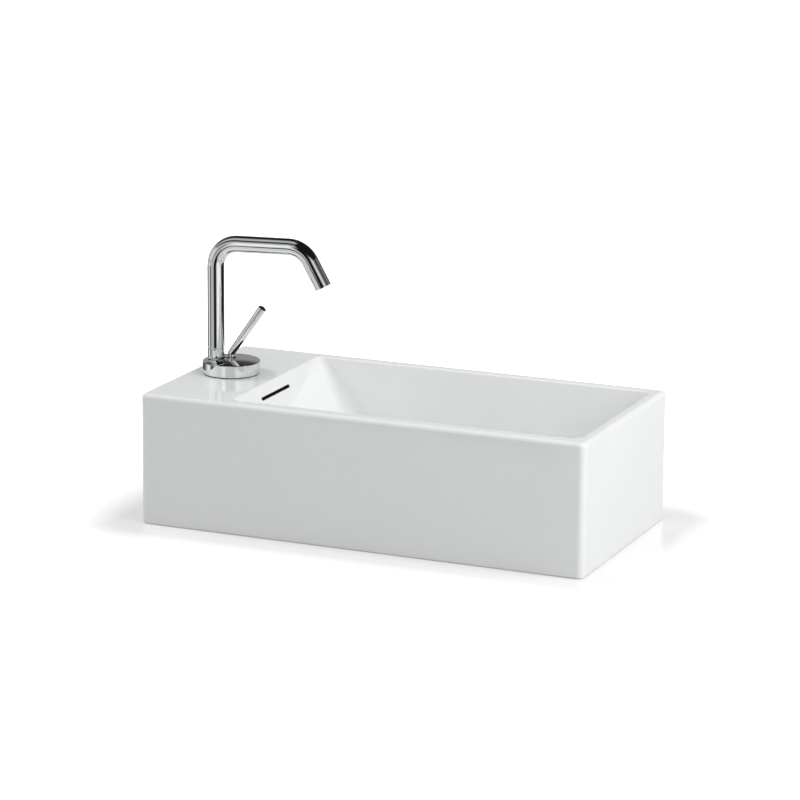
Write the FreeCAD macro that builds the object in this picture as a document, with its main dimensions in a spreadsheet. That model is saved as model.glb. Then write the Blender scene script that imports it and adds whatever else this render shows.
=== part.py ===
import FreeCAD, Part
import math
import os
import Sketcher

# A wall hung hand-rinse basin in glazed ceramic, with a tap ledge on its left, a single-hole
# mixer with a swivel spout and a stick lever, and a press-to-close waste.
#
# Frame: millimetres. The origin is the middle of the basin's bottom rim, +Z is up, the front
# of the basin faces -Y, its flat back faces +Y and the tap ledge is at -X.
#
# Mixer frame: its origin is on the deck, at the middle of the tap hole, and its +X runs from
# the spout's foot to the lever. Outlet frame: +Z runs out of the spout along the jet.

SIZES = {
    # ceramic basin
    "basin_width": 500.0,            # outside, left to right
    "basin_depth": 250.0,            # outside, front to wall
    "basin_height": 142.0,
    "basin_corner_radius": 7.0,      # the four upright outside corners
    "top_edge_radius": 5.0,
    "bottom_edge_radius": 2.0,
    "apron_wall": 13.0,              # the skirt round the hollow underside
    "apron_corner_radius": 12.0,
    "deck_thickness": 15.0,          # under the tap ledge and the rims
    "ledge_width": 99.3,             # outside left face to the bowl's left edge
    "right_rim": 13.0,
    "front_rim": 17.5,
    "back_rim": 14.0,
    "bowl_depth": 76.0,              # rim to the flat margin of the floor
    "left_wall_run": 44.0,           # how far each bowl wall leans in on its way down
    "right_wall_run": 12.0,
    "front_wall_run": 7.0,
    "back_wall_run": 7.0,
    "front_left_radius": 5.0,        # the bowl's corners at the rim
    "back_left_radius": 8.0,
    "front_right_radius": 14.0,
    "back_right_radius": 15.0,
    "bowl_bottom_radius": 26.0,      # all four corners at the floor
    "bowl_floor_radius": 16.0,       # wall into floor
    "bowl_wall": 11.0,               # ceramic round the bowl
    "rim_edge_radius": 2.5,
    "floor_margin": 20.0,            # flat floor outside the fall
    "floor_fall": 3.0,               # from the margin to the drain
    # drain and overflow in the ceramic
    "drain_from_right": 210.0,
    "drain_recess_depth": 2.0,
    "flange_margin": 2.0,            # recess round the waste's flange
    "drain_hole_play": 2.1,          # round the waste's thread
    "drain_boss_width": 17.0,        # ceramic round the drain hole, under the bowl
    "drain_boss_depth": 23.0,        # flange seat to the underside of the boss
    "slot_length": 70.0,
    "slot_height": 3.4,
    "slot_drop": 12.5,               # rim to the middle of the slot
    "slot_from_front": 110.0,        # to the middle of the slot
    "duct_skin": 8.0,                # ceramic between bowl and duct, level
    "duct_gap": 9.0,
    "duct_wall": 8.0,                # ceramic under and beside the duct
    "duct_wall_width": 74.0,         # the duct behind the sloped wall
    "duct_floor_width": 38.0,        # the duct under the floor
    "duct_floor_height": 8.0,
    "duct_floor_wall": 6.0,          # ceramic under the duct below the floor
    "duct_top_drop": 8.0,            # rim to the top of the duct
    # wall fixings
    "bolt_spacing": 280.0,
    "bolt_hole_radius": 7.0,
    "bolt_height": 36.0,
    "bolt_boss_radius": 19.0,
    "bolt_boss_depth": 5.0,
    # mixer base
    "tap_from_left": 46.5,
    "tap_turn": 10.0,                # degrees, how the mixer is turned on its hole
    "tap_hole_radius": 17.5,
    "base_seal_thickness": 1.0,
    "base_seal_inset": 1.0,
    "base_radius": 31.0,
    "base_height": 14.0,             # deck to the rim of the dome
    "dome_rise": 3.0,
    "base_edge": 0.5,
    "shank_play": 1.0,
    "shank_length": 42.0,            # under the deck's top face
    "shank_seat": 4.0,               # thread inside the base
    "chamber_radius": 12.5,
    "chamber_top": 12.5,
    "spout_offset": 17.0,            # spout's axis behind the lever's
    "stub_top": 27.3,
    "stub_foot_radius": 2.2,
    "stub_edge": 0.4,
    "spigot_clearance": 0.07,
    "spigot_length": 20.0,
    "spigot_bore_radius": 3.5,
    "water_groove_depth": 2.8,       # into the chamber's wall
    "water_groove_width": 8.0,
    "water_groove_bottom": 18.0,     # below the deck
    "water_groove_top": 9.0,
    # seals, rings and screw at the spout's foot
    "glide_ring_thickness": 0.5,
    "glide_ring_inset": 0.4,
    "glide_gap": 0.05,
    "spout_seal_half": 0.9,          # half the side of the ring's square section
    "spout_seal_play": 0.05,
    "spout_seal_low": 5.0,           # spigot's foot to the lower ring
    "spout_seal_high": 15.0,
    "stop_groove_height": 10.0,      # spigot's foot to the stop groove
    "stop_groove_half": 2.2,
    "stop_groove_depth": 1.73,
    "stop_margin": 25.0,             # degrees beyond the swivel at each end
    "swivel_range": 55.0,            # degrees each way
    "stop_screw_radius": 1.9,
    "stop_screw_play": 0.05,
    "stop_screw_gap": 0.4,           # its tip to the bottom of the groove
    "stop_screw_sink": 0.2,          # its head below the tube's face
    "stop_screw_key": 1.0,
    "stop_screw_key_depth": 1.5,
    # spout
    "spout_radius": 9.0,
    "spout_wall": 2.0,
    "arm_height": 142.0,             # deck to the middle of the arm
    "first_bend_radius": 24.0,
    "arm_length": 56.7,
    "second_bend_radius": 27.0,
    "second_bend_turn": 62.0,        # degrees
    "outlet_run": 9.4,               # second bend to the sleeve's joint
    "sleeve_length": 22.0,
    "sleeve_edge": 0.5,
    "sleeve_spigot_length": 6.0,
    "sleeve_spigot_play": 0.1,
    "sleeve_waterway": 5.5,
    "sleeve_shoulder": 4.0,          # joint to the seal's seat
    "sleeve_wall": 1.4,
    "sleeve_seal_thickness": 1.5,
    "jet_play": 0.1,
    "jet_recess": 1.2,               # end of the sleeve to the jet former
    "jet_plate": 2.0,
    "jet_shell": 1.2,
    "jet_hole_radius": 1.1,
    "jet_ring_radius": 3.9,
    "jet_ring_holes": 8.0,
    # lever
    "ball_radius": 9.0,
    "ball_height": 10.0,             # deck to the middle of the ball
    "ball_play": 0.3,
    "ball_flat": 5.0,                # middle of the ball to its flat underside
    "ball_seal_sink": 0.7,           # seat to the middle of the seal's section
    "ball_seal_height": 4.0,         # above the middle of the ball
    "ball_seal_half": 0.6,           # half the side of the ring's square section
    "ball_seal_play": 0.05,
    "arm_pin_radius": 2.2,
    "arm_pin_reach": 12.0,           # middle of the ball to the tip's middle
    "arm_tip_radius": 2.6,
    "pivot_radius": 1.5,
    "pivot_play": 0.05,
    "pivot_end_gap": 0.2,            # inside the carrier's ears
    "tilt_range": 17.0,              # degrees, from closed to full flow
    "neck_radius": 3.25,
    "neck_sink": 6.0,                # into the ball
    "neck_top": 22.1,                # deck to the bend of the lever
    "rod_lean": 34.3,                # degrees from upright
    "rod_length": 61.6,
    "rod_foot_radius": 3.8,
    "rod_tip_radius": 4.6,
    "rod_edge": 0.2,
    "rod_cap_radius": 3.6,           # the cap's stem, in its seat
    "rod_cap_seat": 1.7,
    "rod_cap_lip": 0.4,              # upright edge of the cap's head
    "rod_cap_rise": 1.5,             # of its dome
    # cartridge
    "housing_play": 0.1,
    "housing_wall": 1.1,
    "housing_top_gap": 0.1,
    "carrier_play": 0.1,
    "carrier_base_top": 2.2,
    "carrier_base_thickness": 2.4,
    "carrier_ear_play": 0.3,
    "carrier_top_gap": 0.3,
    "slider_radius": 7.0,
    "slider_top_gap": 0.4,
    "slider_thickness": 4.9,
    "socket_play": 0.2,
    "socket_end_gap": 0.6,
    "disc_thickness": 3.0,
    "disc_gap": 0.1,
    "lower_disc_thickness": 3.5,
    "mixing_back": 5.5,              # the hollow under the sliding disc
    "mixing_front": 0.3,
    "mixing_half": 3.8,
    "mixing_depth": 1.6,
    "mixing_corner": 1.2,
    "inlet_x": 3.0,
    "inlet_y": 3.4,
    "inlet_radius": 1.9,
    "outlet_x": 2.0,
    "outlet_radius": 2.2,
    "cartridge_base_thickness": 8.0,
    "outlet_depth": 5.0,
    "port_seal_rim": 0.2,            # inlet's edge to the seal
    "port_seal_half": 0.6,           # half the side of the ring's square section
    "port_seal_play": 0.05,
    # inlets and fixing under the deck
    "inlet_block_height": 16.0,
    "inlet_neck_radius": 9.2,
    "inlet_neck_length": 14.0,
    "hose_port_radius": 3.5,
    "hose_port_half_pitch": 4.8,
    "hose_port_depth": 18.0,
    "ring_nut_height": 5.0,
    "ring_nut_play": 0.1,
    "ring_nut_slot": 3.0,
    "ring_nut_slot_depth": 2.0,
    "fixing_play": 0.3,
    "fixing_seal_width": 7.2,
    "fixing_seal_thickness": 3.0,
    "fixing_washer_thickness": 2.0,
    "fixing_nut_height": 8.0,
    "fixing_nut_wall": 6.5,
    "nut_edge": 0.8,
    # waste
    "flange_radius": 32.0,
    "flange_thickness": 2.5,
    "flange_edge": 1.0,
    "flange_seal_thickness": 1.2,
    "flange_seal_inset": 3.0,
    "flange_mouth_width": 3.0,
    "flange_mouth_depth": 2.5,
    "waste_radius": 20.9,
    "waste_wall": 2.4,
    "spider_step": 1.5,
    "waste_tail_clearance": 4.0,     # end of the tail above the basin's bottom rim
    "waste_window_half": 9.0,
    "tail_thread_length": 16.0,      # the end that the trap's nut screws on to
    "thread_relief_width": 2.0,
    "thread_relief_depth": 0.6,
    "spider_height": 30.0,           # its seat above the basin's bottom rim
    "spider_thickness": 3.5,
    "spider_rim": 2.0,
    "spider_play": 0.1,
    "spider_hub_radius": 8.5,
    "spider_arm_half": 1.5,
    "spider_arms": 3.0,
    "barrel_radius": 6.0,
    "barrel_wall": 1.4,
    "barrel_floor": 2.0,
    "barrel_below": 12.0,            # spider's seat to the barrel's end
    "barrel_above": 20.0,
    "barrel_lip": 2.0,
    "stem_radius": 3.0,
    "stem_play": 0.1,
    "piston_play": 0.2,
    "piston_height": 4.0,
    "spring_play": 0.8,
    "spring_wire": 0.4,
    "spring_turns": 5.0,
    "spring_end_gap": 0.1,
    "plug_travel": 8.0,
    "plug_inset": 1.5,               # inside the flange's rim
    "plug_thickness": 3.0,
    "plug_dome": 2.0,
    "plug_edge": 0.8,
    "plug_hub_radius": 6.0,
    "plug_hub_depth": 5.0,
    "plug_seat_gap": 0.4,            # closed cap above the flange
    "plug_boss_inset": 2.5,          # inside the waste's bore
    "plug_boss_depth": 2.0,
    "plug_seal_width": 2.9,
    "lower_seal_width": 7.0,
    "lower_seal_thickness": 5.0,
    "lower_seal_taper": 3.0,
    "slip_washer_width": 7.0,
    "slip_washer_thickness": 1.5,
    "back_nut_height": 8.0,
    "back_nut_wall": 5.1,
    "waste_play": 0.3,
    "nut_thread_play": 0.1,
}

doc = FreeCAD.newDocument("basin")
sub_parts = []


class Size:
    """A number that carries the spreadsheet expression it comes from."""

    def __init__(self, value, text):
        self.value = float(value)
        self.text = text

    def __add__(self, other):
        other = as_size(other)
        return Size(self.value + other.value, f"({self.text} + {other.text})")

    def __sub__(self, other):
        other = as_size(other)
        return Size(self.value - other.value, f"({self.text} - {other.text})")

    def __mul__(self, other):
        other = as_size(other)
        return Size(self.value * other.value, f"({self.text} * {other.text})")

    def __truediv__(self, other):
        other = as_size(other)
        return Size(self.value / other.value, f"({self.text} / {other.text})")

    def __neg__(self):
        return Size(-self.value, f"(0 - {self.text})")


def as_size(number):
    return number if isinstance(number, Size) else Size(number, repr(float(number)))


def leg(hypotenuse, other):
    """The third side of a right triangle."""
    return Size(math.sqrt(hypotenuse.value ** 2 - other.value ** 2),
                f"sqrt({hypotenuse.text} ^ 2 - {other.text} ^ 2)")


def sine(angle):
    return Size(math.sin(math.radians(angle.value)), f"sin({angle.text})")


def cosine(angle):
    return Size(math.cos(math.radians(angle.value)), f"cos({angle.text})")


class Book:
    """The driving dimensions, as spreadsheet cells and as Size values of the same names."""

    def __init__(self, table):
        sheet = doc.addObject("Spreadsheet::Sheet", "Sizes")
        for row, (name, value) in enumerate(table.items(), start=1):
            sheet.set(f"A{row}", name)
            sheet.set(f"B{row}", str(value))
            sheet.setAlias(f"B{row}", name)
            setattr(self, name, Size(value, f"Sizes.{name}"))
        doc.recompute()


size = Book(SIZES)
zero = as_size(0)

# heights and places that several pieces share
left_face = -size.basin_width / 2
right_face = size.basin_width / 2
front_face = -size.basin_depth / 2
back_face = size.basin_depth / 2
deck_underside = size.basin_height - size.deck_thickness
bowl_left = left_face + size.ledge_width
bowl_right = right_face - size.right_rim
bowl_front = front_face + size.front_rim
bowl_back = back_face - size.back_rim
floor_height = size.basin_height - size.bowl_depth
flange_seat = floor_height - size.floor_fall - size.drain_recess_depth
boss_bottom = flange_seat - size.drain_boss_depth
drain_x = right_face - size.drain_from_right
drain_y = (bowl_front + bowl_back) / 2
drain_hole_radius = size.waste_radius + size.drain_hole_play
drain_recess_radius = size.flange_radius + size.flange_margin
drain_boss_radius = drain_hole_radius + size.drain_boss_width
duct_floor_bottom = boss_bottom + size.duct_floor_wall
tap_x = left_face + size.tap_from_left
tap_y = (front_face + back_face) / 2
shank_radius = size.tap_hole_radius - size.shank_play
shank_top = size.base_seal_thickness + size.shank_seat
spigot_radius = size.spout_radius - size.spout_wall - size.spigot_clearance
stop_groove_radius = spigot_radius - size.stop_groove_depth
ball_seal_ring = leg(size.ball_radius + size.ball_play + size.ball_seal_sink,
                     size.ball_seal_height)


# ---------------------------------------------------------------- sketches and features

def new_body(label):
    body = doc.addObject("PartDesign::Body", label)
    body.Label = label
    sub_parts.append(body)
    return body


def origin_plane(body, role):
    return [part for part in body.Origin.OriginFeatures if part.Role == role][0]


def new_sketch(body, role, offset=None):
    """A sketch on one of the body's own planes, moved along that plane's normal."""
    sketch = body.newObject("Sketcher::SketchObject", f"{body.Label}_sketch")
    sketch.AttachmentSupport = (origin_plane(body, role), [""])
    sketch.MapMode = "FlatFace"
    if offset is not None:
        sketch.AttachmentOffset = FreeCAD.Placement(
            FreeCAD.Vector(0, 0, offset.value), FreeCAD.Rotation())
        sketch.setExpression("AttachmentOffset.Base.z", offset.text)
    return sketch


def bind(sketch, kind, places, amount):
    """Adds one dimension to a sketch and ties it to the spreadsheet."""
    index = sketch.addConstraint(Sketcher.Constraint(kind, *places, amount.value))
    sketch.setExpression(f"Constraints[{index}]", amount.text)


def pin_point(sketch, edge, end, x, y):
    bind(sketch, "DistanceX", (edge, end), x)
    bind(sketch, "DistanceY", (edge, end), y)


def point(x, y):
    return FreeCAD.Vector(as_size(x).value, as_size(y).value, 0)


def draw_circle(sketch, x, y, radius):
    x, y = as_size(x), as_size(y)
    circle = Part.Circle(point(x, y), FreeCAD.Vector(0, 0, 1), radius.value)
    edge = sketch.addGeometry(circle, False)
    bind(sketch, "Radius", (edge,), radius)
    pin_point(sketch, edge, 3, x, y)


def draw_outline(sketch, corners):
    """A closed outline. A corner (x, y, radius, side) is reached by an arc, not a line:
    side is +1 where the arc turns anticlockwise and -1 where it turns clockwise."""
    corners = [(as_size(c[0]), as_size(c[1])) + tuple(c[2:]) for c in corners]
    edges = []
    for start, end in zip(corners[-1:] + corners[:-1], corners):
        first, last = point(*start[:2]), point(*end[:2])
        if len(end) == 2:
            edges.append(sketch.addGeometry(Part.LineSegment(first, last), False))
            continue
        radius, side = end[2:]
        chord = last - first
        middle = (first + last) * 0.5
        across = FreeCAD.Vector(-chord.y, chord.x, 0).normalize() * side
        rise = math.sqrt(max(radius.value ** 2 - (chord.Length / 2) ** 2, 0))
        crown = middle + across * rise - across * radius.value
        edge = sketch.addGeometry(Part.Arc(first, crown, last), False)
        bind(sketch, "Radius", (edge,), radius)
        edges.append(edge)
    # an arc's own start is its anticlockwise one, so a clockwise arc ends at its start
    tail = [1 if len(c) == 4 and c[3] < 0 else 2 for c in corners]
    head = [3 - end for end in tail]
    for index, corner in enumerate(corners):
        following = (index + 1) % len(corners)
        sketch.addConstraint(Sketcher.Constraint(
            "Coincident", edges[index], tail[index], edges[following], head[following]))
        pin_point(sketch, edges[index], tail[index], corner[0], corner[1])


def draw_rounded_box(sketch, low_x, high_x, low_y, high_y, radii):
    """A box with a corner radius each, from the low-low corner anticlockwise."""
    low_x, high_x = as_size(low_x), as_size(high_x)
    low_y, high_y = as_size(low_y), as_size(high_y)
    centres = [(low_x + radii[0], low_y + radii[0]), (high_x - radii[1], low_y + radii[1]),
               (high_x - radii[2], high_y - radii[2]), (low_x + radii[3], high_y - radii[3])]
    arcs = []
    for turn, (centre, radius) in enumerate(zip(centres, radii)):
        circle = Part.Circle(point(*centre), FreeCAD.Vector(0, 0, 1), radius.value)
        start = math.pi * (1 + turn / 2)
        arcs.append(sketch.addGeometry(
            Part.ArcOfCircle(circle, start, start + math.pi / 2), False))
    lines = []
    for turn in range(4):
        start = sketch.Geometry[arcs[turn]].EndPoint
        end = sketch.Geometry[arcs[(turn + 1) % 4]].StartPoint
        lines.append(sketch.addGeometry(Part.LineSegment(start, end), False))
    for turn in range(4):
        following = arcs[(turn + 1) % 4]
        sketch.addConstraint(Sketcher.Constraint("Tangent", arcs[turn], 2, lines[turn], 1))
        sketch.addConstraint(Sketcher.Constraint("Tangent", lines[turn], 2, following, 1))
        sketch.addConstraint(Sketcher.Constraint("Vertical" if turn % 2 else "Horizontal",
                                                 lines[turn]))
        bind(sketch, "Radius", (arcs[turn],), radii[turn])
    bind(sketch, "DistanceY", (lines[0], 1), low_y)
    bind(sketch, "DistanceX", (lines[1], 1), high_x)
    bind(sketch, "DistanceY", (lines[2], 1), high_y)
    bind(sketch, "DistanceX", (lines[3], 1), low_x)


def draw_half_disc(sketch, height, radius):
    """Half a disc against the sketch's upright axis, to turn into a ball."""
    height = as_size(height)
    circle = Part.Circle(point(zero, height), FreeCAD.Vector(0, 0, 1), radius.value)
    arc = sketch.addGeometry(Part.ArcOfCircle(circle, -math.pi / 2, math.pi / 2), False)
    line = sketch.addGeometry(Part.LineSegment(
        point(zero, height + radius), point(zero, height - radius)), False)
    sketch.addConstraint(Sketcher.Constraint("Coincident", arc, 2, line, 1))
    sketch.addConstraint(Sketcher.Constraint("Coincident", line, 2, arc, 1))
    sketch.addConstraint(Sketcher.Constraint("Vertical", line))
    bind(sketch, "Radius", (arc,), radius)
    pin_point(sketch, arc, 3, zero, height)


def draw_slot(sketch, low_x, high_x, y, half):
    """A level slot with round ends, between the two ends' centres."""
    arcs = []
    for x, start in ((low_x, math.pi / 2), (high_x, -math.pi / 2)):
        circle = Part.Circle(point(x, y), FreeCAD.Vector(0, 0, 1), half.value)
        arcs.append(sketch.addGeometry(Part.ArcOfCircle(circle, start, start + math.pi), False))
    for here, there in (arcs, arcs[::-1]):
        line = sketch.addGeometry(Part.LineSegment(
            sketch.Geometry[here].EndPoint, sketch.Geometry[there].StartPoint), False)
        sketch.addConstraint(Sketcher.Constraint("Tangent", here, 2, line, 1))
        sketch.addConstraint(Sketcher.Constraint("Tangent", line, 2, there, 1))
    bind(sketch, "Radius", (arcs[0],), half)
    pin_point(sketch, arcs[0], 3, low_x, y)
    pin_point(sketch, arcs[1], 3, high_x, y)


def draw_axis(sketch, x):
    """An upright construction line, for a revolution about an axis away from the origin."""
    edge = sketch.addGeometry(Part.LineSegment(point(x, 0), point(x, size.base_radius)), True)
    sketch.addConstraint(Sketcher.Constraint("Vertical", edge))
    pin_point(sketch, edge, 1, x, zero)
    bind(sketch, "DistanceY", (edge, 2), size.base_radius)


def add_feature(body, kind, sketch, length=None, reverse=False, both_ways=False):
    feature = body.newObject(f"PartDesign::{kind}", f"{body.Label}_{kind.lower()}")
    feature.Profile = sketch
    if length is not None:
        feature.Length = length.value
        feature.setExpression("Length", length.text)
    if both_ways:
        feature.SideType = "Symmetric"
    feature.Reversed = reverse
    sketch.Visibility = False
    return feature


def revolve(body, sketch, kind="Revolution", axis="V_Axis", angle=None):
    feature = body.newObject(f"PartDesign::{kind}", f"{body.Label}_{kind.lower()}")
    feature.Profile = sketch
    feature.ReferenceAxis = (sketch, [axis])
    feature.Angle = 360
    if angle is not None:
        feature.Angle = angle.value
        feature.setExpression("Angle", angle.text)
        feature.Midplane = True
    return feature


def loft(body, kind, sections):
    feature = body.newObject(f"PartDesign::{kind}", f"{body.Label}_{kind.lower()}")
    feature.Profile = sections[0]
    feature.Sections = sections[1:]
    feature.Ruled = True
    return feature


def dress(body, kind, amount, wanted):
    """A fillet or chamfer on every edge of the body's last shape that wanted() picks."""
    doc.recompute()
    base = body.Tip
    names = [f"Edge{number}" for number, edge in enumerate(base.Shape.Edges, start=1)
             if wanted(edge)]
    if not names:
        raise RuntimeError(f"{body.Label}: no edge to {kind.lower()}")
    feature = body.newObject(f"PartDesign::{kind}", f"{body.Label}_{kind.lower()}")
    feature.Base = (base, names)
    measure = "Radius" if kind == "Fillet" else "Size"
    setattr(feature, measure, amount.value)
    feature.setExpression(measure, amount.text)
    return feature


def same(one, other, slack=0.01):
    return abs(one - as_size(other).value) < slack


def level_edge(edge, height):
    box = edge.BoundBox
    return same(box.ZMin, height) and same(box.ZMax, height)


def turned_body(label, corners):
    """A body turned about its own Z axis from an outline of (radius, height) corners."""
    body = new_body(label)
    sketch = new_sketch(body, "XZ_Plane")
    draw_outline(sketch, corners)
    revolve(body, sketch)
    return body


def ring_corners(inner, outer, low, high):
    return [(inner, low), (outer, low), (outer, high), (inner, high)]


def drill(body, role, offset, length, holes, reverse=False, both_ways=False):
    """Round holes (x, y, radius) cut from a plane."""
    sketch = new_sketch(body, role, offset)
    for x, y, radius in holes:
        draw_circle(sketch, x, y, radius)
    return add_feature(body, "Pocket", sketch, length, reverse, both_ways)


def repeat_round(body, feature, count):
    """Repeats a feature evenly round the body's own Z axis."""
    pattern = body.newObject("PartDesign::PolarPattern", f"{body.Label}_pattern")
    pattern.Originals = [feature]
    pattern.Axis = (origin_plane(body, "Z_Axis"), [""])
    pattern.Angle = 360
    pattern.Occurrences = int(count.value)
    pattern.setExpression("Occurrences", count.text)
    body.Tip = pattern


def place(part, x, y, z, turn=zero):
    """Puts a sub-part's own frame at (x, y, z), turned about +Z."""
    part.Placement = FreeCAD.Placement(
        FreeCAD.Vector(x.value, y.value, z.value),
        FreeCAD.Rotation(FreeCAD.Vector(0, 0, 1), turn.value))
    for name, amount in (("Base.x", x), ("Base.y", y), ("Base.z", z), ("Rotation.Angle", turn)):
        part.setExpression(f"Placement.{name}", amount.text)


def on_mixer(part):
    place(part, tap_x, tap_y, size.basin_height, size.tap_turn)


def on_drain(part):
    place(part, drain_x, drain_y, zero)


def on_outlet(part):
    """Puts a sub-part's +Z along the jet, with its origin at the sleeve's joint."""
    turn = size.second_bend_turn
    reach = (size.first_bend_radius + size.arm_length - size.spout_offset
             + size.second_bend_radius * sine(turn) + size.outlet_run * cosine(turn))
    drop = (size.second_bend_radius * (as_size(1) - cosine(turn))
            + size.outlet_run * sine(turn))
    height = size.basin_height + size.arm_height - drop
    heading = math.radians(size.tap_turn.value)
    jet = FreeCAD.Rotation(FreeCAD.Vector(0, 0, 1), size.tap_turn.value).multiply(
        FreeCAD.Rotation(FreeCAD.Vector(0, 1, 0), 90 + turn.value))
    part.Placement = FreeCAD.Placement(
        FreeCAD.Vector(tap_x.value + reach.value * math.cos(heading),
                       tap_y.value + reach.value * math.sin(heading), height.value), jet)


# ---------------------------------------------------------------- ceramic basin

def wall_x(height, outward):
    """X of the bowl's sloped left wall at a height, moved outward into the ceramic."""
    return bowl_left + size.left_wall_run * (size.basin_height - height) / size.bowl_depth - outward


def bowl_section(body, height, outward):
    """The bowl's outline at a height, grown outward on every side."""
    down = (size.basin_height - height) / size.bowl_depth
    sketch = new_sketch(body, "XY_Plane", height)
    rim_radii = (size.front_left_radius, size.front_right_radius,
                 size.back_right_radius, size.back_left_radius)
    radii = [radius + (size.bowl_bottom_radius - radius) * down + outward
             for radius in rim_radii]
    draw_rounded_box(sketch,
                     bowl_left + size.left_wall_run * down - outward,
                     bowl_right - size.right_wall_run * down + outward,
                     bowl_front + size.front_wall_run * down - outward,
                     bowl_back - size.back_wall_run * down + outward, radii)
    return sketch


def make_basin_body():
    body = new_body("basin_body")
    block = new_sketch(body, "XY_Plane")
    draw_rounded_box(block, left_face, right_face, front_face, back_face,
                     [size.basin_corner_radius] * 4)
    add_feature(body, "Pad", block, size.basin_height)
    dress(body, "Fillet", size.top_edge_radius,
          lambda edge: level_edge(edge, size.basin_height))
    dress(body, "Fillet", size.bottom_edge_radius, lambda edge: level_edge(edge, 0))
    hollow_underside(body)
    thicken_underside(body)
    cut_bowl(body)
    cut_overflow(body)
    cut_holes(body)


def hollow_underside(body):
    sketch = new_sketch(body, "XY_Plane")
    draw_rounded_box(sketch, left_face + size.apron_wall, right_face - size.apron_wall,
                     front_face + size.apron_wall, back_face - size.apron_wall,
                     [size.apron_corner_radius] * 4)
    add_feature(body, "Pocket", sketch, deck_underside, reverse=True)


def thicken_underside(body):
    """The ceramic round the bowl, the drain, the overflow duct and the wall fixings."""
    in_deck = size.basin_height - size.deck_thickness / 2
    loft(body, "AdditiveLoft", [bowl_section(body, in_deck, size.bowl_wall),
                                bowl_section(body, floor_height - size.bowl_wall,
                                             size.bowl_wall)])
    boss = new_sketch(body, "XY_Plane", boss_bottom)
    draw_circle(boss, drain_x, drain_y, drain_boss_radius)
    add_feature(body, "Pad", boss, floor_height - boss_bottom)
    outer = size.duct_skin + size.duct_gap + size.duct_wall
    inner = size.duct_skin / 2
    behind_wall = new_sketch(body, "XZ_Plane", -slot_y())
    draw_outline(behind_wall, [
        (wall_x(in_deck, outer), in_deck), (wall_x(boss_bottom, outer), boss_bottom),
        (wall_x(boss_bottom, inner), boss_bottom), (wall_x(in_deck, inner), in_deck)])
    add_feature(body, "Pad", behind_wall, size.duct_wall_width + size.duct_wall * 2,
                both_ways=True)
    under_floor = new_sketch(body, "XZ_Plane", -drain_y)
    middle_of_floor = floor_height - size.bowl_wall / 2
    draw_outline(under_floor, [
        (wall_x(boss_bottom, outer), boss_bottom), (drain_x, boss_bottom),
        (drain_x, middle_of_floor), (wall_x(middle_of_floor, outer), middle_of_floor)])
    add_feature(body, "Pad", under_floor, size.duct_floor_width + size.duct_wall * 2,
                both_ways=True)
    bosses = new_sketch(body, "XZ_Plane", size.apron_wall - back_face)
    for side in (-1, 1):
        draw_circle(bosses, size.bolt_spacing / 2 * side, size.bolt_height,
                    size.bolt_boss_radius)
    add_feature(body, "Pad", bosses, size.bolt_boss_depth)


def cut_bowl(body):
    loft(body, "SubtractiveLoft", [bowl_section(body, size.basin_height, zero),
                                   bowl_section(body, floor_height, zero)])
    inside = bowl_box_test(size.bowl_floor_radius)
    dress(body, "Fillet", size.bowl_floor_radius,
          lambda edge: level_edge(edge, floor_height) and inside(edge))
    fall = new_sketch(body, "XY_Plane", floor_height)
    margin = size.floor_margin
    draw_rounded_box(fall, bowl_left + size.left_wall_run + margin,
                     bowl_right - size.right_wall_run - margin,
                     bowl_front + size.front_wall_run + margin,
                     bowl_back - size.back_wall_run - margin, [size.floor_margin] * 4)
    drain = new_sketch(body, "XY_Plane", floor_height - size.floor_fall)
    reach = drain_recess_radius + size.floor_fall
    draw_rounded_box(drain, drain_x - reach, drain_x + reach, drain_y - reach,
                     drain_y + reach, [drain_recess_radius] * 4)
    loft(body, "SubtractiveLoft", [fall, drain])
    dress(body, "Fillet", size.rim_edge_radius,
          lambda edge: level_edge(edge, size.basin_height) and inside(edge))


def bowl_box_test(slack):
    """Tells the bowl's edges from the outer ones by where they lie."""
    def test(edge):
        box = edge.BoundBox
        return (box.XMin > bowl_left.value - slack.value / 4
                and box.XMax < bowl_right.value + slack.value / 4
                and box.YMin > bowl_front.value - slack.value / 4
                and box.YMax < bowl_back.value + slack.value / 4)
    return test


def slot_y():
    return front_face + size.slot_from_front


def cut_overflow(body):
    """The slot in the sloped wall, and the duct from behind it to the drain hole."""
    top = size.basin_height - size.duct_top_drop
    near = size.duct_skin
    far = size.duct_skin + size.duct_gap
    ceiling = duct_floor_bottom + size.duct_floor_height
    behind_wall = new_sketch(body, "XZ_Plane", -slot_y())
    draw_outline(behind_wall, [
        (wall_x(top, far), top), (wall_x(duct_floor_bottom, far), duct_floor_bottom),
        (wall_x(duct_floor_bottom, near), duct_floor_bottom), (wall_x(top, near), top)])
    add_feature(body, "Pocket", behind_wall, size.duct_wall_width, both_ways=True)
    under_floor = new_sketch(body, "XZ_Plane", -drain_y)
    draw_outline(under_floor, [
        (wall_x(duct_floor_bottom, far), duct_floor_bottom), (drain_x, duct_floor_bottom),
        (drain_x, ceiling), (wall_x(ceiling, far), ceiling)])
    add_feature(body, "Pocket", under_floor, size.duct_floor_width, both_ways=True)
    slot_height = size.basin_height - size.slot_drop
    slot = new_sketch(body, "YZ_Plane", wall_x(slot_height, -size.duct_gap))
    half = size.slot_height / 2
    draw_slot(slot, slot_y() - size.slot_length / 2 + half,
              slot_y() + size.slot_length / 2 - half, slot_height, half)
    add_feature(body, "Pocket", slot, size.duct_skin + size.duct_gap * 2 - half)


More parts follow.
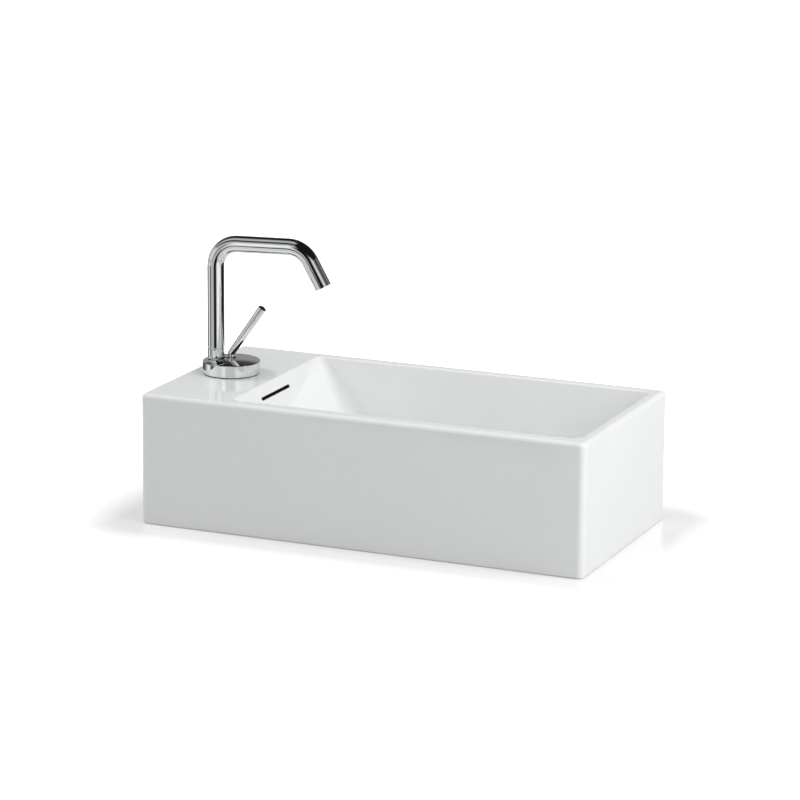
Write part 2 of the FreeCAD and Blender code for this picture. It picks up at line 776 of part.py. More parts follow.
def cut_holes(body):
    drill(body, "XY_Plane", flange_seat, size.drain_recess_depth * 2 + size.floor_fall,
          [(drain_x, drain_y, drain_recess_radius)], reverse=True)
    drill(body, "XY_Plane", zero, floor_height, [(drain_x, drain_y, drain_hole_radius)],
          reverse=True)
    drill(body, "XY_Plane", size.basin_height, size.deck_thickness * 2,
          [(tap_x, tap_y, size.tap_hole_radius)])
    through = size.apron_wall + size.bolt_boss_depth
    drill(body, "XZ_Plane", through * 2 - back_face, through * 3,
          [(size.bolt_spacing / 2 * side, size.bolt_height, size.bolt_hole_radius)
           for side in (-1, 1)])


# ---------------------------------------------------------------- mixer: base and fixing

def make_mixer_base():
    body = new_body("mixer_base")
    radius = size.base_radius
    rim = radius - size.base_edge
    socket = shank_radius + size.nut_thread_play
    dome_radius = (rim * rim + size.dome_rise * size.dome_rise) / (size.dome_rise * 2)
    outline = new_sketch(body, "XZ_Plane")
    draw_outline(outline, [
        (zero, shank_top), (socket, shank_top), (socket, size.base_seal_thickness),
        (rim, size.base_seal_thickness), (radius, size.base_seal_thickness + size.base_edge),
        (radius, size.base_height - size.base_edge), (rim, size.base_height),
        (zero, size.base_height + size.dome_rise, dome_radius, 1)])
    revolve(body, outline)
    stub = new_sketch(body, "XY_Plane", size.base_height - size.dome_rise)
    draw_circle(stub, -size.spout_offset, zero, size.spout_radius)
    add_feature(body, "Pad", stub, size.stub_top - size.base_height + size.dome_rise)
    dress(body, "Fillet", size.stub_foot_radius, is_stub_foot)
    dress(body, "Chamfer", size.stub_edge, lambda edge: level_edge(edge, size.stub_top))
    add_spigot(body)
    drill(body, "XY_Plane", zero, size.chamber_top, [(zero, zero, size.chamber_radius)],
          reverse=True)
    cut_ball_seat(body)
    drill(body, "XY_Plane", shank_top, size.stub_top + size.spigot_length - shank_top,
          [(-size.spout_offset, zero, size.spigot_bore_radius)], reverse=True)
    cut_water_groove(body)
    on_mixer(body)


def make_threaded_shank():
    """The tail screwed up into the base, with the cartridge's chamber through it."""
    body = turned_body("threaded_shank", ring_corners(
        size.chamber_radius, shank_radius, -size.shank_length, shank_top))
    cut_water_groove(body)
    on_mixer(body)


def cut_water_groove(body):
    """The way from the cartridge's outlet up to the spout, in the chamber's wall."""
    groove = new_sketch(body, "XY_Plane", -size.water_groove_bottom)
    half = size.water_groove_width / 2
    reach = size.chamber_radius + size.water_groove_depth
    draw_outline(groove, [(-reach, -half), (-size.chamber_radius / 2, -half),
                          (-size.chamber_radius / 2, half), (-reach, half)])
    add_feature(body, "Pocket", groove, size.water_groove_bottom + size.water_groove_top,
                reverse=True)


def is_stub_foot(edge):
    """The curve where the spout's stub grows out of the dome."""
    box = edge.BoundBox
    return (box.ZMin > size.base_height.value and box.ZMax < size.stub_top.value - 1
            and same(box.XMin, -size.spout_offset - size.spout_radius, 0.1))


def add_spigot(body):
    """The turned spigot that the spout swivels on, with its seal grooves and stop groove."""
    radius = spigot_radius
    axis = -size.spout_offset
    outline = new_sketch(body, "XZ_Plane")
    draw_axis(outline, axis)
    top = size.stub_top + size.spigot_length
    draw_outline(outline, [
        (axis, size.stub_top), (axis + radius, size.stub_top),
        (axis + radius, top - size.stub_edge), (axis + radius - size.stub_edge, top),
        (axis, top)])
    revolve(body, outline, axis="Axis0")
    for height in (size.spout_seal_low, size.spout_seal_high):
        groove = new_sketch(body, "XZ_Plane")
        draw_axis(groove, axis)
        low = size.stub_top + height - size.spout_seal_half
        high = size.stub_top + height + size.spout_seal_half
        floor = axis + radius - size.spout_seal_half * 2
        draw_outline(groove, [(floor, low), (axis + size.spout_radius, low),
                              (axis + size.spout_radius, high), (floor, high)])
        revolve(body, groove, "Groove", "Axis0")
    stop = new_sketch(body, "XZ_Plane")
    draw_axis(stop, axis)
    middle = size.stub_top + size.stop_groove_height
    draw_outline(stop, [
        (axis - size.spout_radius, middle - size.stop_groove_half),
        (axis - stop_groove_radius, middle - size.stop_groove_half),
        (axis - stop_groove_radius, middle + size.stop_groove_half),
        (axis - size.spout_radius, middle + size.stop_groove_half)])
    revolve(body, stop, "Groove", "Axis0", (size.swivel_range + size.stop_margin) * 2)


def cut_ball_seat(body):
    seat = new_sketch(body, "XZ_Plane")
    draw_half_disc(seat, size.ball_height, size.ball_radius + size.ball_play)
    revolve(body, seat, "Groove")
    groove = new_sketch(body, "XZ_Plane")
    half = size.ball_seal_half + size.ball_seal_play
    middle = size.ball_height + size.ball_seal_height
    draw_outline(groove, ring_corners(ball_seal_ring - half, ball_seal_ring + half,
                                      middle - half, middle + half))
    revolve(body, groove, "Groove")


def make_seal_ring(label, ring, height, half, axis_x=zero):
    """A square-cut seal ring, level, about an upright axis."""
    body = turned_body(label, ring_corners(
        ring - half, ring + half, height - half, height + half))
    place_on_axis(body, axis_x)


def place_on_axis(body, axis_x):
    """Puts a sub-part's own axis axis_x along the mixer's +X from the mixer's axis."""
    place(body, tap_x + axis_x * cosine(size.tap_turn), tap_y + axis_x * sine(size.tap_turn),
          size.basin_height, size.tap_turn)


def make_deck_fixing():
    below = -size.deck_thickness
    inner = shank_radius + size.fixing_play
    outer = inner + size.fixing_seal_width
    seal = turned_body("base_seal", ring_corners(
        inner, size.base_radius - size.base_seal_inset, zero, size.base_seal_thickness))
    on_mixer(seal)
    fixing_seal = turned_body("fixing_seal", ring_corners(
        inner, outer, below - size.fixing_seal_thickness, below))
    on_mixer(fixing_seal)
    below = below - size.fixing_seal_thickness
    washer = turned_body("fixing_washer", ring_corners(
        inner, outer, below - size.fixing_washer_thickness, below))
    on_mixer(washer)
    below = below - size.fixing_washer_thickness
    nut = make_hex_nut("fixing_nut", shank_radius + size.fixing_nut_wall,
                       shank_radius + size.nut_thread_play, below,
                       size.fixing_nut_height)
    on_mixer(nut)


def make_hex_nut(label, half_flats, bore_radius, top, height):
    body = new_body(label)
    outline = new_sketch(body, "XY_Plane", top - height)
    corner = half_flats / cosine(as_size(30))
    corners = [(corner * cosine(as_size(60 * step)), corner * sine(as_size(60 * step)))
               for step in range(6)]
    draw_outline(outline, corners)
    add_feature(body, "Pad", outline, height)
    drill(body, "XY_Plane", top, height * 2, [(zero, zero, bore_radius)])
    dress(body, "Chamfer", size.nut_edge,
          lambda edge: level_edge(edge, top - height) and edge.Length > 2 * size.nut_edge.value)
    return body


# ---------------------------------------------------------------- mixer: lever

def make_lever_ball():
    """The ball, cut flat below, with the pin that moves the disc slider."""
    reach = size.arm_pin_reach
    body = new_body("lever_ball")
    outline = new_sketch(body, "XZ_Plane", None)
    flat_radius = leg(size.ball_radius, size.ball_flat)
    draw_outline(outline, [
        (zero, -size.ball_flat), (flat_radius, -size.ball_flat),
        (zero, size.ball_radius, size.ball_radius, 1)])
    revolve(body, outline)
    pin = new_sketch(body, "XY_Plane", -reach)
    draw_circle(pin, zero, zero, size.arm_pin_radius)
    add_feature(body, "Pad", pin, reach)
    tip = new_sketch(body, "XZ_Plane")
    draw_half_disc(tip, -reach, size.arm_tip_radius)
    revolve(body, tip)
    drill(body, "XZ_Plane", zero, size.ball_radius * 2, [(zero, zero, size.pivot_radius)],
          both_ways=True)
    drill(body, "XY_Plane", size.ball_radius, size.neck_sink,
          [(zero, zero, size.neck_radius)])
    place(body, tap_x, tap_y, size.basin_height + size.ball_height, size.tap_turn)


def make_lever_rod():
    """Neck, bend and leaning rod, with a shallow seat for the end cap."""
    neck_foot = size.ball_height + size.ball_radius - size.neck_sink
    neck = primitive("Cylinder", Radius=size.neck_radius, Height=size.neck_top - neck_foot)
    neck.Placement.Base.z = neck_foot.value
    neck.setExpression("Placement.Base.z", neck_foot.text)
    elbow = primitive("Sphere", Radius=size.rod_foot_radius)
    rod = primitive("Cone", Radius1=size.rod_foot_radius, Radius2=size.rod_tip_radius,
                    Height=size.rod_length)
    seat = primitive("Cylinder", Radius=size.rod_cap_radius, Height=size.rod_cap_seat)
    lean = FreeCAD.Rotation(FreeCAD.Vector(0, 1, 0), size.rod_lean.value)
    foot = FreeCAD.Vector(0, 0, size.neck_top.value)
    seat_start = size.rod_length - size.rod_cap_seat
    end = foot + lean.multVec(FreeCAD.Vector(0, 0, seat_start.value))
    elbow.Placement = FreeCAD.Placement(foot, lean)
    rod.Placement = FreeCAD.Placement(foot, lean)
    seat.Placement = FreeCAD.Placement(end, lean)
    whole = doc.addObject("Part::MultiFuse", "lever_rod_whole")
    whole.Shapes = [neck, elbow, rod]
    doc.recompute()
    rim = doc.addObject("Part::Chamfer", "lever_rod_rim")
    rim.Base = whole
    edge_size = size.rod_edge.value
    rim.Edges = [(number, edge_size, edge_size)
                 for number, edge in enumerate(whole.Shape.Edges, start=1)
                 if isinstance(edge.Curve, Part.Circle)
                 and same(edge.Curve.Radius, size.rod_tip_radius)]
    cut = doc.addObject("Part::Cut", "lever_rod")
    cut.Base = rim
    cut.Tool = seat
    cut.Label = "lever_rod"
    on_mixer(cut)
    sub_parts.append(cut)
    make_lever_cap(end, lean)


def make_lever_cap(end, lean):
    """A domed cap: its stem fills the rod's seat and its head covers the rod's end."""
    head = size.rod_tip_radius - size.rod_edge
    under_dome = size.rod_cap_seat + size.rod_cap_lip
    rise = size.rod_cap_rise
    dome_radius = (head * head + rise * rise) / (rise * 2)
    cap = new_body("lever_cap")
    outline = new_sketch(cap, "XZ_Plane", None)
    draw_outline(outline, [
        (zero, zero), (size.rod_cap_radius, zero), (size.rod_cap_radius, size.rod_cap_seat),
        (head, size.rod_cap_seat), (head, under_dome),
        (zero, under_dome + rise, dome_radius, 1)])
    revolve(cap, outline)
    heading = FreeCAD.Rotation(FreeCAD.Vector(0, 0, 1), size.tap_turn.value)
    deck = FreeCAD.Vector(tap_x.value, tap_y.value, size.basin_height.value)
    cap.Placement = FreeCAD.Placement(deck + heading.multVec(end), heading.multiply(lean))


def primitive(kind, **amounts):
    item = doc.addObject(f"Part::{kind}", f"{kind.lower()}_tool")
    bind_all(item, **amounts)
    return item


def bind_all(item, **amounts):
    for name, amount in amounts.items():
        setattr(item, name, amount.value)
        item.setExpression(name, amount.text)


def make_lever_pivot():
    body = new_body("lever_pivot")
    sketch = new_sketch(body, "XZ_Plane")
    draw_circle(sketch, zero, zero, size.pivot_radius)
    add_feature(body, "Pad", sketch, (carrier_radius - size.pivot_end_gap) * 2,
                both_ways=True)
    place(body, tap_x, tap_y, size.basin_height + size.ball_height, size.tap_turn)


# ---------------------------------------------------------------- mixer: cartridge

housing_radius = size.chamber_radius - size.housing_play
housing_bore = housing_radius - size.housing_wall
carrier_radius = housing_bore - size.carrier_play
carrier_bottom = size.carrier_base_top - size.carrier_base_thickness
slider_top = carrier_bottom - size.slider_top_gap
socket_radius = size.arm_tip_radius + size.socket_play
socket_bottom = (size.ball_height - size.arm_pin_reach - size.arm_tip_radius
                 - size.socket_end_gap)
slider_bottom = slider_top - size.slider_thickness
upper_disc_bottom = slider_bottom - size.disc_thickness
lower_disc_top = upper_disc_bottom - size.disc_gap
lower_disc_bottom = lower_disc_top - size.lower_disc_thickness
cartridge_bottom = lower_disc_bottom - size.cartridge_base_thickness
port_seal_ring = size.inlet_radius + size.port_seal_rim + size.port_seal_half


def make_cartridge_housing():
    housing = turned_body("cartridge_housing", ring_corners(
        housing_bore, housing_radius, lower_disc_bottom,
        size.chamber_top - size.housing_top_gap))
    on_mixer(housing)


def make_lever_carrier():
    """The ring that turns with the lever and holds its pivot between two ears."""
    body = new_body("lever_carrier")
    outline = new_sketch(body, "XY_Plane", carrier_bottom)
    draw_circle(outline, zero, zero, carrier_radius)
    add_feature(body, "Pad", outline,
                size.chamber_top - size.carrier_top_gap - carrier_bottom)
    gap = new_sketch(body, "XY_Plane", size.carrier_base_top)
    half = size.ball_radius + size.carrier_ear_play
    reach = size.chamber_radius
    draw_outline(gap, [(-reach, -half), (reach, -half), (reach, half), (-reach, half)])
    add_feature(body, "Pocket", gap, size.chamber_radius, reverse=True)
    slot = new_sketch(body, "XY_Plane", carrier_bottom)
    front = (size.arm_pin_reach * sine(size.tilt_range) + socket_radius
             + size.socket_play)
    draw_outline(slot, [(-socket_radius, -socket_radius), (front, -socket_radius),
                        (front, socket_radius), (-socket_radius, socket_radius)])
    add_feature(body, "Pocket", slot, size.chamber_radius, reverse=True)
    drill(body, "XZ_Plane", zero, size.chamber_radius * 2,
          [(zero, size.ball_height, size.pivot_radius + size.pivot_play)], both_ways=True)
    on_mixer(body)


def make_discs():
    slider = turned_body("disc_slider", [
        (zero, slider_bottom), (size.slider_radius, slider_bottom),
        (size.slider_radius, slider_top), (zero, slider_top)])
    drill(slider, "XY_Plane", slider_top, slider_top - socket_bottom,
          [(zero, zero, socket_radius)])
    on_mixer(slider)
    upper = turned_body("upper_disc", [
        (zero, upper_disc_bottom), (size.slider_radius, upper_disc_bottom),
        (size.slider_radius, slider_bottom), (zero, slider_bottom)])
    hollow = new_sketch(upper, "XY_Plane", upper_disc_bottom)
    draw_rounded_box(hollow, -size.mixing_back, size.mixing_front, -size.mixing_half,
                     size.mixing_half, [size.mixing_corner] * 4)
    add_feature(upper, "Pocket", hollow, size.mixing_depth, reverse=True)
    on_mixer(upper)
    lower = turned_body("lower_disc", [
        (zero, lower_disc_bottom), (carrier_radius, lower_disc_bottom),
        (carrier_radius, lower_disc_top), (zero, lower_disc_top)])
    drill(lower, "XY_Plane", lower_disc_top, size.lower_disc_thickness, port_holes())
    on_mixer(lower)


def port_holes():
    return [(size.inlet_x, size.inlet_y, size.inlet_radius),
            (size.inlet_x, -size.inlet_y, size.inlet_radius),
            (-size.outlet_x, zero, size.outlet_radius)]


def make_cartridge_base():
    body = turned_body("cartridge_base", [
        (zero, cartridge_bottom), (housing_radius, cartridge_bottom),
        (housing_radius, lower_disc_bottom), (zero, lower_disc_bottom)])
    drill(body, "XY_Plane", lower_disc_bottom, size.cartridge_base_thickness, port_holes()[:2])
    drill(body, "XY_Plane", lower_disc_bottom, size.outlet_depth, port_holes()[2:])
    side = new_sketch(body, "YZ_Plane", -size.outlet_x)
    middle = lower_disc_bottom - size.outlet_depth / 2
    draw_circle(side, zero, middle, size.outlet_radius)
    add_feature(body, "Pocket", side, size.chamber_radius)
    recess = new_sketch(body, "XY_Plane", cartridge_bottom)
    for turn in (-1, 1):
        draw_circle(recess, size.inlet_x, size.inlet_y * turn,
                    port_seal_ring + size.port_seal_half)
    add_feature(body, "Pocket", recess, size.port_seal_half * 2, reverse=True)
    on_mixer(body)
    seals = doc.addObject("Part::MultiFuse", "port_seals")
    seals.Label = "port_seals"
    rings = []
    for side in (-1, 1):
        outer = port_seal_ring + size.port_seal_half - size.port_seal_play
        disc = primitive("Cylinder", Radius=outer, Height=size.port_seal_half * 2)
        bore = primitive("Cylinder", Radius=port_seal_ring - size.port_seal_half,
                         Height=size.port_seal_half * 2)
        for item in (disc, bore):
            item.Placement.Base = FreeCAD.Vector(
                size.inlet_x.value, size.inlet_y.value * side, cartridge_bottom.value)
        ring = doc.addObject("Part::Cut", "port_seal")
        ring.Base = disc
        ring.Tool = bore
        rings.append(ring)
    seals.Shapes = rings
    on_mixer(seals)
    sub_parts.append(seals)


def make_inlet_block():
    """The brass end piece: the two hose ports below open into the cartridge's inlets."""
    shoulder = cartridge_bottom - size.inlet_block_height
    bottom = shoulder - size.inlet_neck_length
    body = turned_body("inlet_block", [
        (zero, bottom), (size.inlet_neck_radius, bottom), (size.inlet_neck_radius, shoulder),
        (housing_radius, shoulder), (housing_radius, cartridge_bottom),
        (zero, cartridge_bottom)])
    drill(body, "XY_Plane", bottom, size.hose_port_depth,
          [(zero, size.hose_port_half_pitch * side, size.hose_port_radius)
           for side in (-1, 1)], reverse=True)
    drill(body, "XY_Plane", cartridge_bottom, size.inlet_block_height, port_holes()[:2])
    on_mixer(body)
    ring = turned_body("ring_nut", ring_corners(
        size.inlet_neck_radius + size.ring_nut_play, housing_radius,
        shoulder - size.ring_nut_height, shoulder))
    slots = new_sketch(ring, "XY_Plane", shoulder - size.ring_nut_height)
    half = size.ring_nut_slot / 2
    reach = size.chamber_radius
    draw_outline(slots, [(-reach, -half), (reach, -half), (reach, half), (-reach, half)])
    add_feature(ring, "Pocket", slots, size.ring_nut_slot_depth, reverse=True)
    on_mixer(ring)


# ---------------------------------------------------------------- mixer: spout

def make_spout_tube():
    """The bent tube, swept as a ring along the spout's centre line."""
    body = new_body("spout_tube")
    foot = size.stub_top + size.glide_ring_thickness + size.glide_gap
    start = -size.spout_offset
    rise = size.arm_height
    turn = size.second_bend_turn
    first = size.first_bend_radius
    second = size.second_bend_radius
    bend_end = start + first + size.arm_length
    swung = bend_end + second * sine(turn)
    dropped = rise - second * (as_size(1) - cosine(turn))
    path_points = [
        (start, foot), (start, rise - first), (start + first, rise), (bend_end, rise),
        (swung, dropped),
        (swung + size.outlet_run * cosine(turn), dropped - size.outlet_run * sine(turn))]
    spine = new_sketch(body, "XZ_Plane")
    draw_path(spine, path_points, {2: first, 4: second})
    ring = new_sketch(body, "XY_Plane", foot)
    draw_circle(ring, start, zero, size.spout_radius)
    draw_circle(ring, start, zero, size.spout_radius - size.spout_wall)
    pipe = body.newObject("PartDesign::AdditivePipe", "spout_tube_pipe")
    pipe.Profile = ring
    pipe.Spine = (spine, [])
    pipe.Transition = "Transformed"
    dress(body, "Chamfer", size.stub_edge,
          lambda edge: level_edge(edge, foot)
          and same(edge.Curve.Radius, size.spout_radius))
    drill(body, "YZ_Plane", start, size.spout_radius * 2,
          [(zero, size.stub_top + size.stop_groove_height,
            size.stop_screw_radius + size.stop_screw_play)])
    on_mixer(body)


def draw_path(sketch, points, bends):
    """An open path of lines, with a clockwise arc of the given radius into each bend."""
    edges, starts, ends = [], [], []
    for index, (start, end) in enumerate(zip(points[:-1], points[1:]), start=1):
        first, last = point(*start), point(*end)
        if index in bends:
            radius = bends[index]
            chord = last - first
            across = FreeCAD.Vector(-chord.y, chord.x, 0).normalize()
            rise = radius.value - math.sqrt(radius.value ** 2 - (chord.Length / 2) ** 2)
            edge = sketch.addGeometry(
                Part.Arc(first, (first + last) * 0.5 + across * rise, last), False)
            bind(sketch, "Radius", (edge,), radius)
            starts.append(2)
            ends.append(1)
        else:
            edge = sketch.addGeometry(Part.LineSegment(first, last), False)
            starts.append(1)
            ends.append(2)
        edges.append(edge)
    pin_point(sketch, edges[0], starts[0], *points[0])
    for index, edge in enumerate(edges):
        pin_point(sketch, edge, ends[index], *points[index + 1])
        if index + 1 < len(edges):
            sketch.addConstraint(Sketcher.Constraint(
                "Coincident", edge, ends[index], edges[index + 1], starts[index + 1]))


def make_spout_foot_pieces():
    glide = turned_body("glide_ring", ring_corners(
        size.spout_radius - size.spout_wall, size.spout_radius - size.glide_ring_inset,
        size.stub_top, size.stub_top + size.glide_ring_thickness))
    place_on_axis(glide, -size.spout_offset)
    bore = size.spout_radius - size.spout_wall
    half = size.spout_seal_half - size.spout_seal_play
    for label, height in (("spout_seal_lower", size.spout_seal_low),
                          ("spout_seal_upper", size.spout_seal_high)):
        make_seal_ring(label, bore - size.spout_seal_play - half, size.stub_top + height,
                       half, -size.spout_offset)
    screw = new_body("stop_screw")
    head = size.spout_radius - size.stop_screw_sink
    tip = stop_groove_radius + size.stop_screw_gap
    shank = new_sketch(screw, "YZ_Plane", -head)
    height = size.stub_top + size.stop_groove_height
    draw_circle(shank, zero, height, size.stop_screw_radius)
    add_feature(screw, "Pad", shank, head - tip)
    key = new_sketch(screw, "YZ_Plane", -head)
    corners = [(size.stop_screw_key * cosine(as_size(60 * step)),
                height + size.stop_screw_key * sine(as_size(60 * step))) for step in range(6)]
    draw_outline(key, corners)
    add_feature(screw, "Pocket", key, size.stop_screw_key_depth, reverse=True)
    place_on_axis(screw, -size.spout_offset)


def make_outlet_pieces():
    outer = size.spout_radius
    spigot = outer - size.spout_wall - size.sleeve_spigot_play
    mouth = outer - size.sleeve_wall
    jet = mouth - size.jet_play
    sleeve = turned_body("aerator_sleeve", [
        (size.sleeve_waterway, -size.sleeve_spigot_length),
        (spigot, -size.sleeve_spigot_length), (spigot, zero),
        (outer - size.stub_edge, zero), (outer, size.stub_edge),
        (outer, size.sleeve_length - size.sleeve_edge),
        (outer - size.sleeve_edge, size.sleeve_length),
        (mouth, size.sleeve_length),
        (mouth, size.sleeve_shoulder),
        (size.sleeve_waterway, size.sleeve_shoulder)])
    on_outlet(sleeve)
    seal = turned_body("aerator_seal", ring_corners(
        size.sleeve_waterway, jet, size.sleeve_shoulder,
        size.sleeve_shoulder + size.sleeve_seal_thickness))
    on_outlet(seal)
    start = size.sleeve_shoulder + size.sleeve_seal_thickness
    end = size.sleeve_length - size.jet_recess
    inner = jet - size.jet_shell
    former = turned_body("jet_former", [
        (zero, end - size.jet_plate), (inner, end - size.jet_plate), (inner, start),
        (jet, start), (jet, end), (zero, end)])
    drill(former, "XY_Plane", end, size.jet_plate, [(zero, zero, size.jet_hole_radius)])
    hole = drill(former, "XY_Plane", end, size.jet_plate,
                 [(size.jet_ring_radius, zero, size.jet_hole_radius)])
    repeat_round(former, hole, size.jet_ring_holes)
    on_outlet(former)


# ---------------------------------------------------------------- waste

flange_bottom = flange_seat + size.flange_seal_thickness
flange_top = flange_bottom + size.flange_thickness
waste_bore = size.waste_radius - size.waste_wall
tail_bore = waste_bore - size.spider_step
spider_top = size.spider_height + size.spider_thickness
barrel_bottom = size.spider_height - size.barrel_below
barrel_top = size.spider_height + size.barrel_above
plug_open_bottom = flange_top + size.plug_seat_gap + size.plug_travel
piston_top = barrel_top - size.barrel_lip - size.plug_seat_gap
piston_bottom = piston_top - size.piston_height
barrel_bore = size.barrel_radius - size.barrel_wall
piston_radius = barrel_bore - size.piston_play
plug_radius = size.flange_radius - size.plug_inset
plug_boss_radius = waste_bore - size.plug_boss_inset


def make_waste_body():
    thread_end = size.waste_tail_clearance + size.tail_thread_length
    relief_end = thread_end + size.thread_relief_width
    relief = size.waste_radius - size.thread_relief_depth
    body = turned_body("waste_body", [
        (tail_bore, size.waste_tail_clearance),
        (size.waste_radius, size.waste_tail_clearance), (size.waste_radius, thread_end),
        (relief, thread_end), (relief, relief_end),
        (size.waste_radius, relief_end), (size.waste_radius, flange_bottom),
        (size.flange_radius, flange_bottom), (size.flange_radius, flange_top - size.flange_edge),
        (size.flange_radius - size.flange_edge, flange_top),
        (waste_bore + size.flange_mouth_width, flange_top),
        (waste_bore, flange_top - size.flange_mouth_depth),
        (waste_bore, size.spider_height),
        (tail_bore, size.spider_height)])
    window = new_sketch(body, "YZ_Plane")
    half = size.waste_window_half
    low = duct_floor_bottom
    draw_outline(window, [(-half, low), (half, low), (half, low + size.duct_floor_height),
                          (-half, low + size.duct_floor_height)])
    add_feature(body, "Pocket", window, size.waste_radius * 2 + size.waste_play * 2,
                both_ways=True)
    on_drain(body)


def make_waste_rings():
    bore = size.waste_radius + size.waste_play
    upper = turned_body("flange_seal", ring_corners(
        bore, size.flange_radius - size.flange_seal_inset, flange_seat, flange_bottom))
    lower_bottom = boss_bottom - size.lower_seal_thickness
    outer = drain_hole_radius + size.lower_seal_width
    lower = turned_body("lower_seal", [
        (bore, lower_bottom), (outer, lower_bottom),
        (outer, boss_bottom - size.lower_seal_taper),
        (outer - size.lower_seal_taper, boss_bottom), (bore, boss_bottom)])
    washer_bottom = lower_bottom - size.slip_washer_thickness
    washer = turned_body("slip_washer", ring_corners(
        bore, bore + size.slip_washer_width, washer_bottom, lower_bottom))
    nut = make_hex_nut("back_nut", size.waste_radius + size.back_nut_wall,
                       size.waste_radius + size.nut_thread_play, washer_bottom,
                       size.back_nut_height)
    for part in (upper, lower, washer, nut):
        on_drain(part)


def make_spider():
    """A rim, a hub and the arms between them, set on the step in the waste's bore."""
    body = turned_body("waste_spider", ring_corners(
        size.barrel_radius, waste_bore - size.spider_play,
        size.spider_height, spider_top))
    gaps = new_sketch(body, "XY_Plane", spider_top)
    inner = size.spider_hub_radius
    outer = waste_bore - size.spider_play - size.spider_rim
    # one opening: from the hub to the rim, between two neighbouring arms
    half = size.spider_arm_half
    near = leg(inner, half)
    far = leg(outer, half)
    arm = as_size(360) / size.spider_arms
    start_inner = (near, half)
    start_outer = (far, half)
    end_outer = (far * cosine(arm) + half * sine(arm), far * sine(arm) - half * cosine(arm))
    end_inner = (near * cosine(arm) + half * sine(arm), near * sine(arm) - half * cosine(arm))
    draw_outline(gaps, [start_outer, end_outer + (outer, 1), end_inner,
                        start_inner + (inner, -1)])
    opening = add_feature(body, "Pocket", gaps, size.spider_thickness)
    repeat_round(body, opening, size.spider_arms)
    on_drain(body)


def make_plug():
    barrel = turned_body("plug_barrel", [
        (zero, barrel_bottom), (size.barrel_radius, barrel_bottom),
        (size.barrel_radius, barrel_top), (size.stem_radius + size.stem_play, barrel_top),
        (size.stem_radius + size.stem_play, barrel_top - size.barrel_lip),
        (barrel_bore, barrel_top - size.barrel_lip),
        (barrel_bore, barrel_bottom + size.barrel_floor),
        (zero, barrel_bottom + size.barrel_floor)])
    hub_bottom = plug_open_bottom - size.plug_hub_depth
    boss_bottom_face = plug_open_bottom - size.plug_boss_depth
    stem = turned_body("plug_stem", [
        (zero, piston_bottom), (piston_radius, piston_bottom),
        (piston_radius, piston_top), (size.stem_radius, piston_top),
        (size.stem_radius, plug_open_bottom), (zero, plug_open_bottom)])
    rise = size.plug_dome
    rim = plug_radius - size.plug_edge
    dome_radius = (rim * rim + rise * rise) / (rise * 2)
    top = plug_open_bottom + size.plug_thickness
    cap = turned_body("plug_cap", [
        (zero, plug_open_bottom), (size.stem_radius, plug_open_bottom),
        (size.stem_radius, hub_bottom), (size.plug_hub_radius, hub_bottom),
        (size.plug_hub_radius, boss_bottom_face), (plug_boss_radius, boss_bottom_face),
        (plug_boss_radius, plug_open_bottom), (rim, plug_open_bottom),
        (plug_radius, plug_open_bottom + size.plug_edge),
        (plug_radius, top - size.plug_edge), (rim, top),
        (zero, top + rise, dome_radius, 1)])
    seal = turned_body("plug_seal", ring_corners(
        plug_boss_radius, plug_boss_radius + size.plug_seal_width, boss_bottom_face,
        plug_open_bottom))
    for part in (barrel, stem, cap, seal):
        on_drain(part)


def make_spring():
    """The coil that lifts the stem's piston, set on the barrel's floor."""
    low = barrel_bottom.value + size.barrel_floor.value + size.spring_end_gap.value
    high = piston_bottom.value - size.spring_end_gap.value
    wire = size.spring_wire.value
    rise = high - low - wire * 2
    turns = size.spring_turns.value
    radius = barrel_bore.value - size.spring_play.value - wire
    path = Part.Wire(Part.makeHelix(rise / turns, rise, radius).Edges)
    start = FreeCAD.Vector(radius, 0, 0)
    section = Part.Wire(Part.Circle(start, FreeCAD.Vector(0, 1, 0), wire).toShape())
    coil = path.makePipeShell([section], True, True)
    spring = doc.addObject("Part::Feature", "plug_spring")
    spring.Label = "plug_spring"
    spring.Shape = coil
    spring.Placement.Base = FreeCAD.Vector(drain_x.value, drain_y.value, low + wire)
    sub_parts.append(spring)


# ---------------------------------------------------------------- build, check, write

def build():
    make_basin_body()
    make_mixer_base()
    make_threaded_shank()
    make_deck_fixing()
    make_seal_ring("ball_seal", ball_seal_ring, size.ball_height + size.ball_seal_height,
                   size.ball_seal_half)
    make_lever_ball()
    make_lever_rod()
    make_lever_pivot()
    make_cartridge_housing()
    make_lever_carrier()
    make_discs()
    make_cartridge_base()
    make_inlet_block()
    make_spout_tube()
    make_spout_foot_pieces()
    make_outlet_pieces()
    make_waste_body()
    make_waste_rings()
    make_spider()
    make_plug()
    make_spring()
    doc.recompute()


def check_and_write():
    for item in doc.Objects:
        if "Invalid" in item.State or "Error" in item.State:
            raise RuntimeError(f"{item.Name} failed: {item.State}")
    for part in sub_parts:
        if part.Shape.isNull() or not part.Shape.isValid():
            raise RuntimeError(f"{part.Label} has no valid shape")
    os.makedirs("parts", exist_ok=True)
    for part in sub_parts:
        part.Shape.exportStep(f"parts/{part.Label}.step")
        print(f"{part.Label}: {len(part.Shape.Solids)} solid, {part.Shape.Volume:.0f} mm3")


build()
check_and_write()
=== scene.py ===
import logging
import math
from collections.abc import Callable
from dataclasses import dataclass
from enum import Enum
from typing import ClassVar

import bpy
from mathutils import Euler, Matrix, Vector


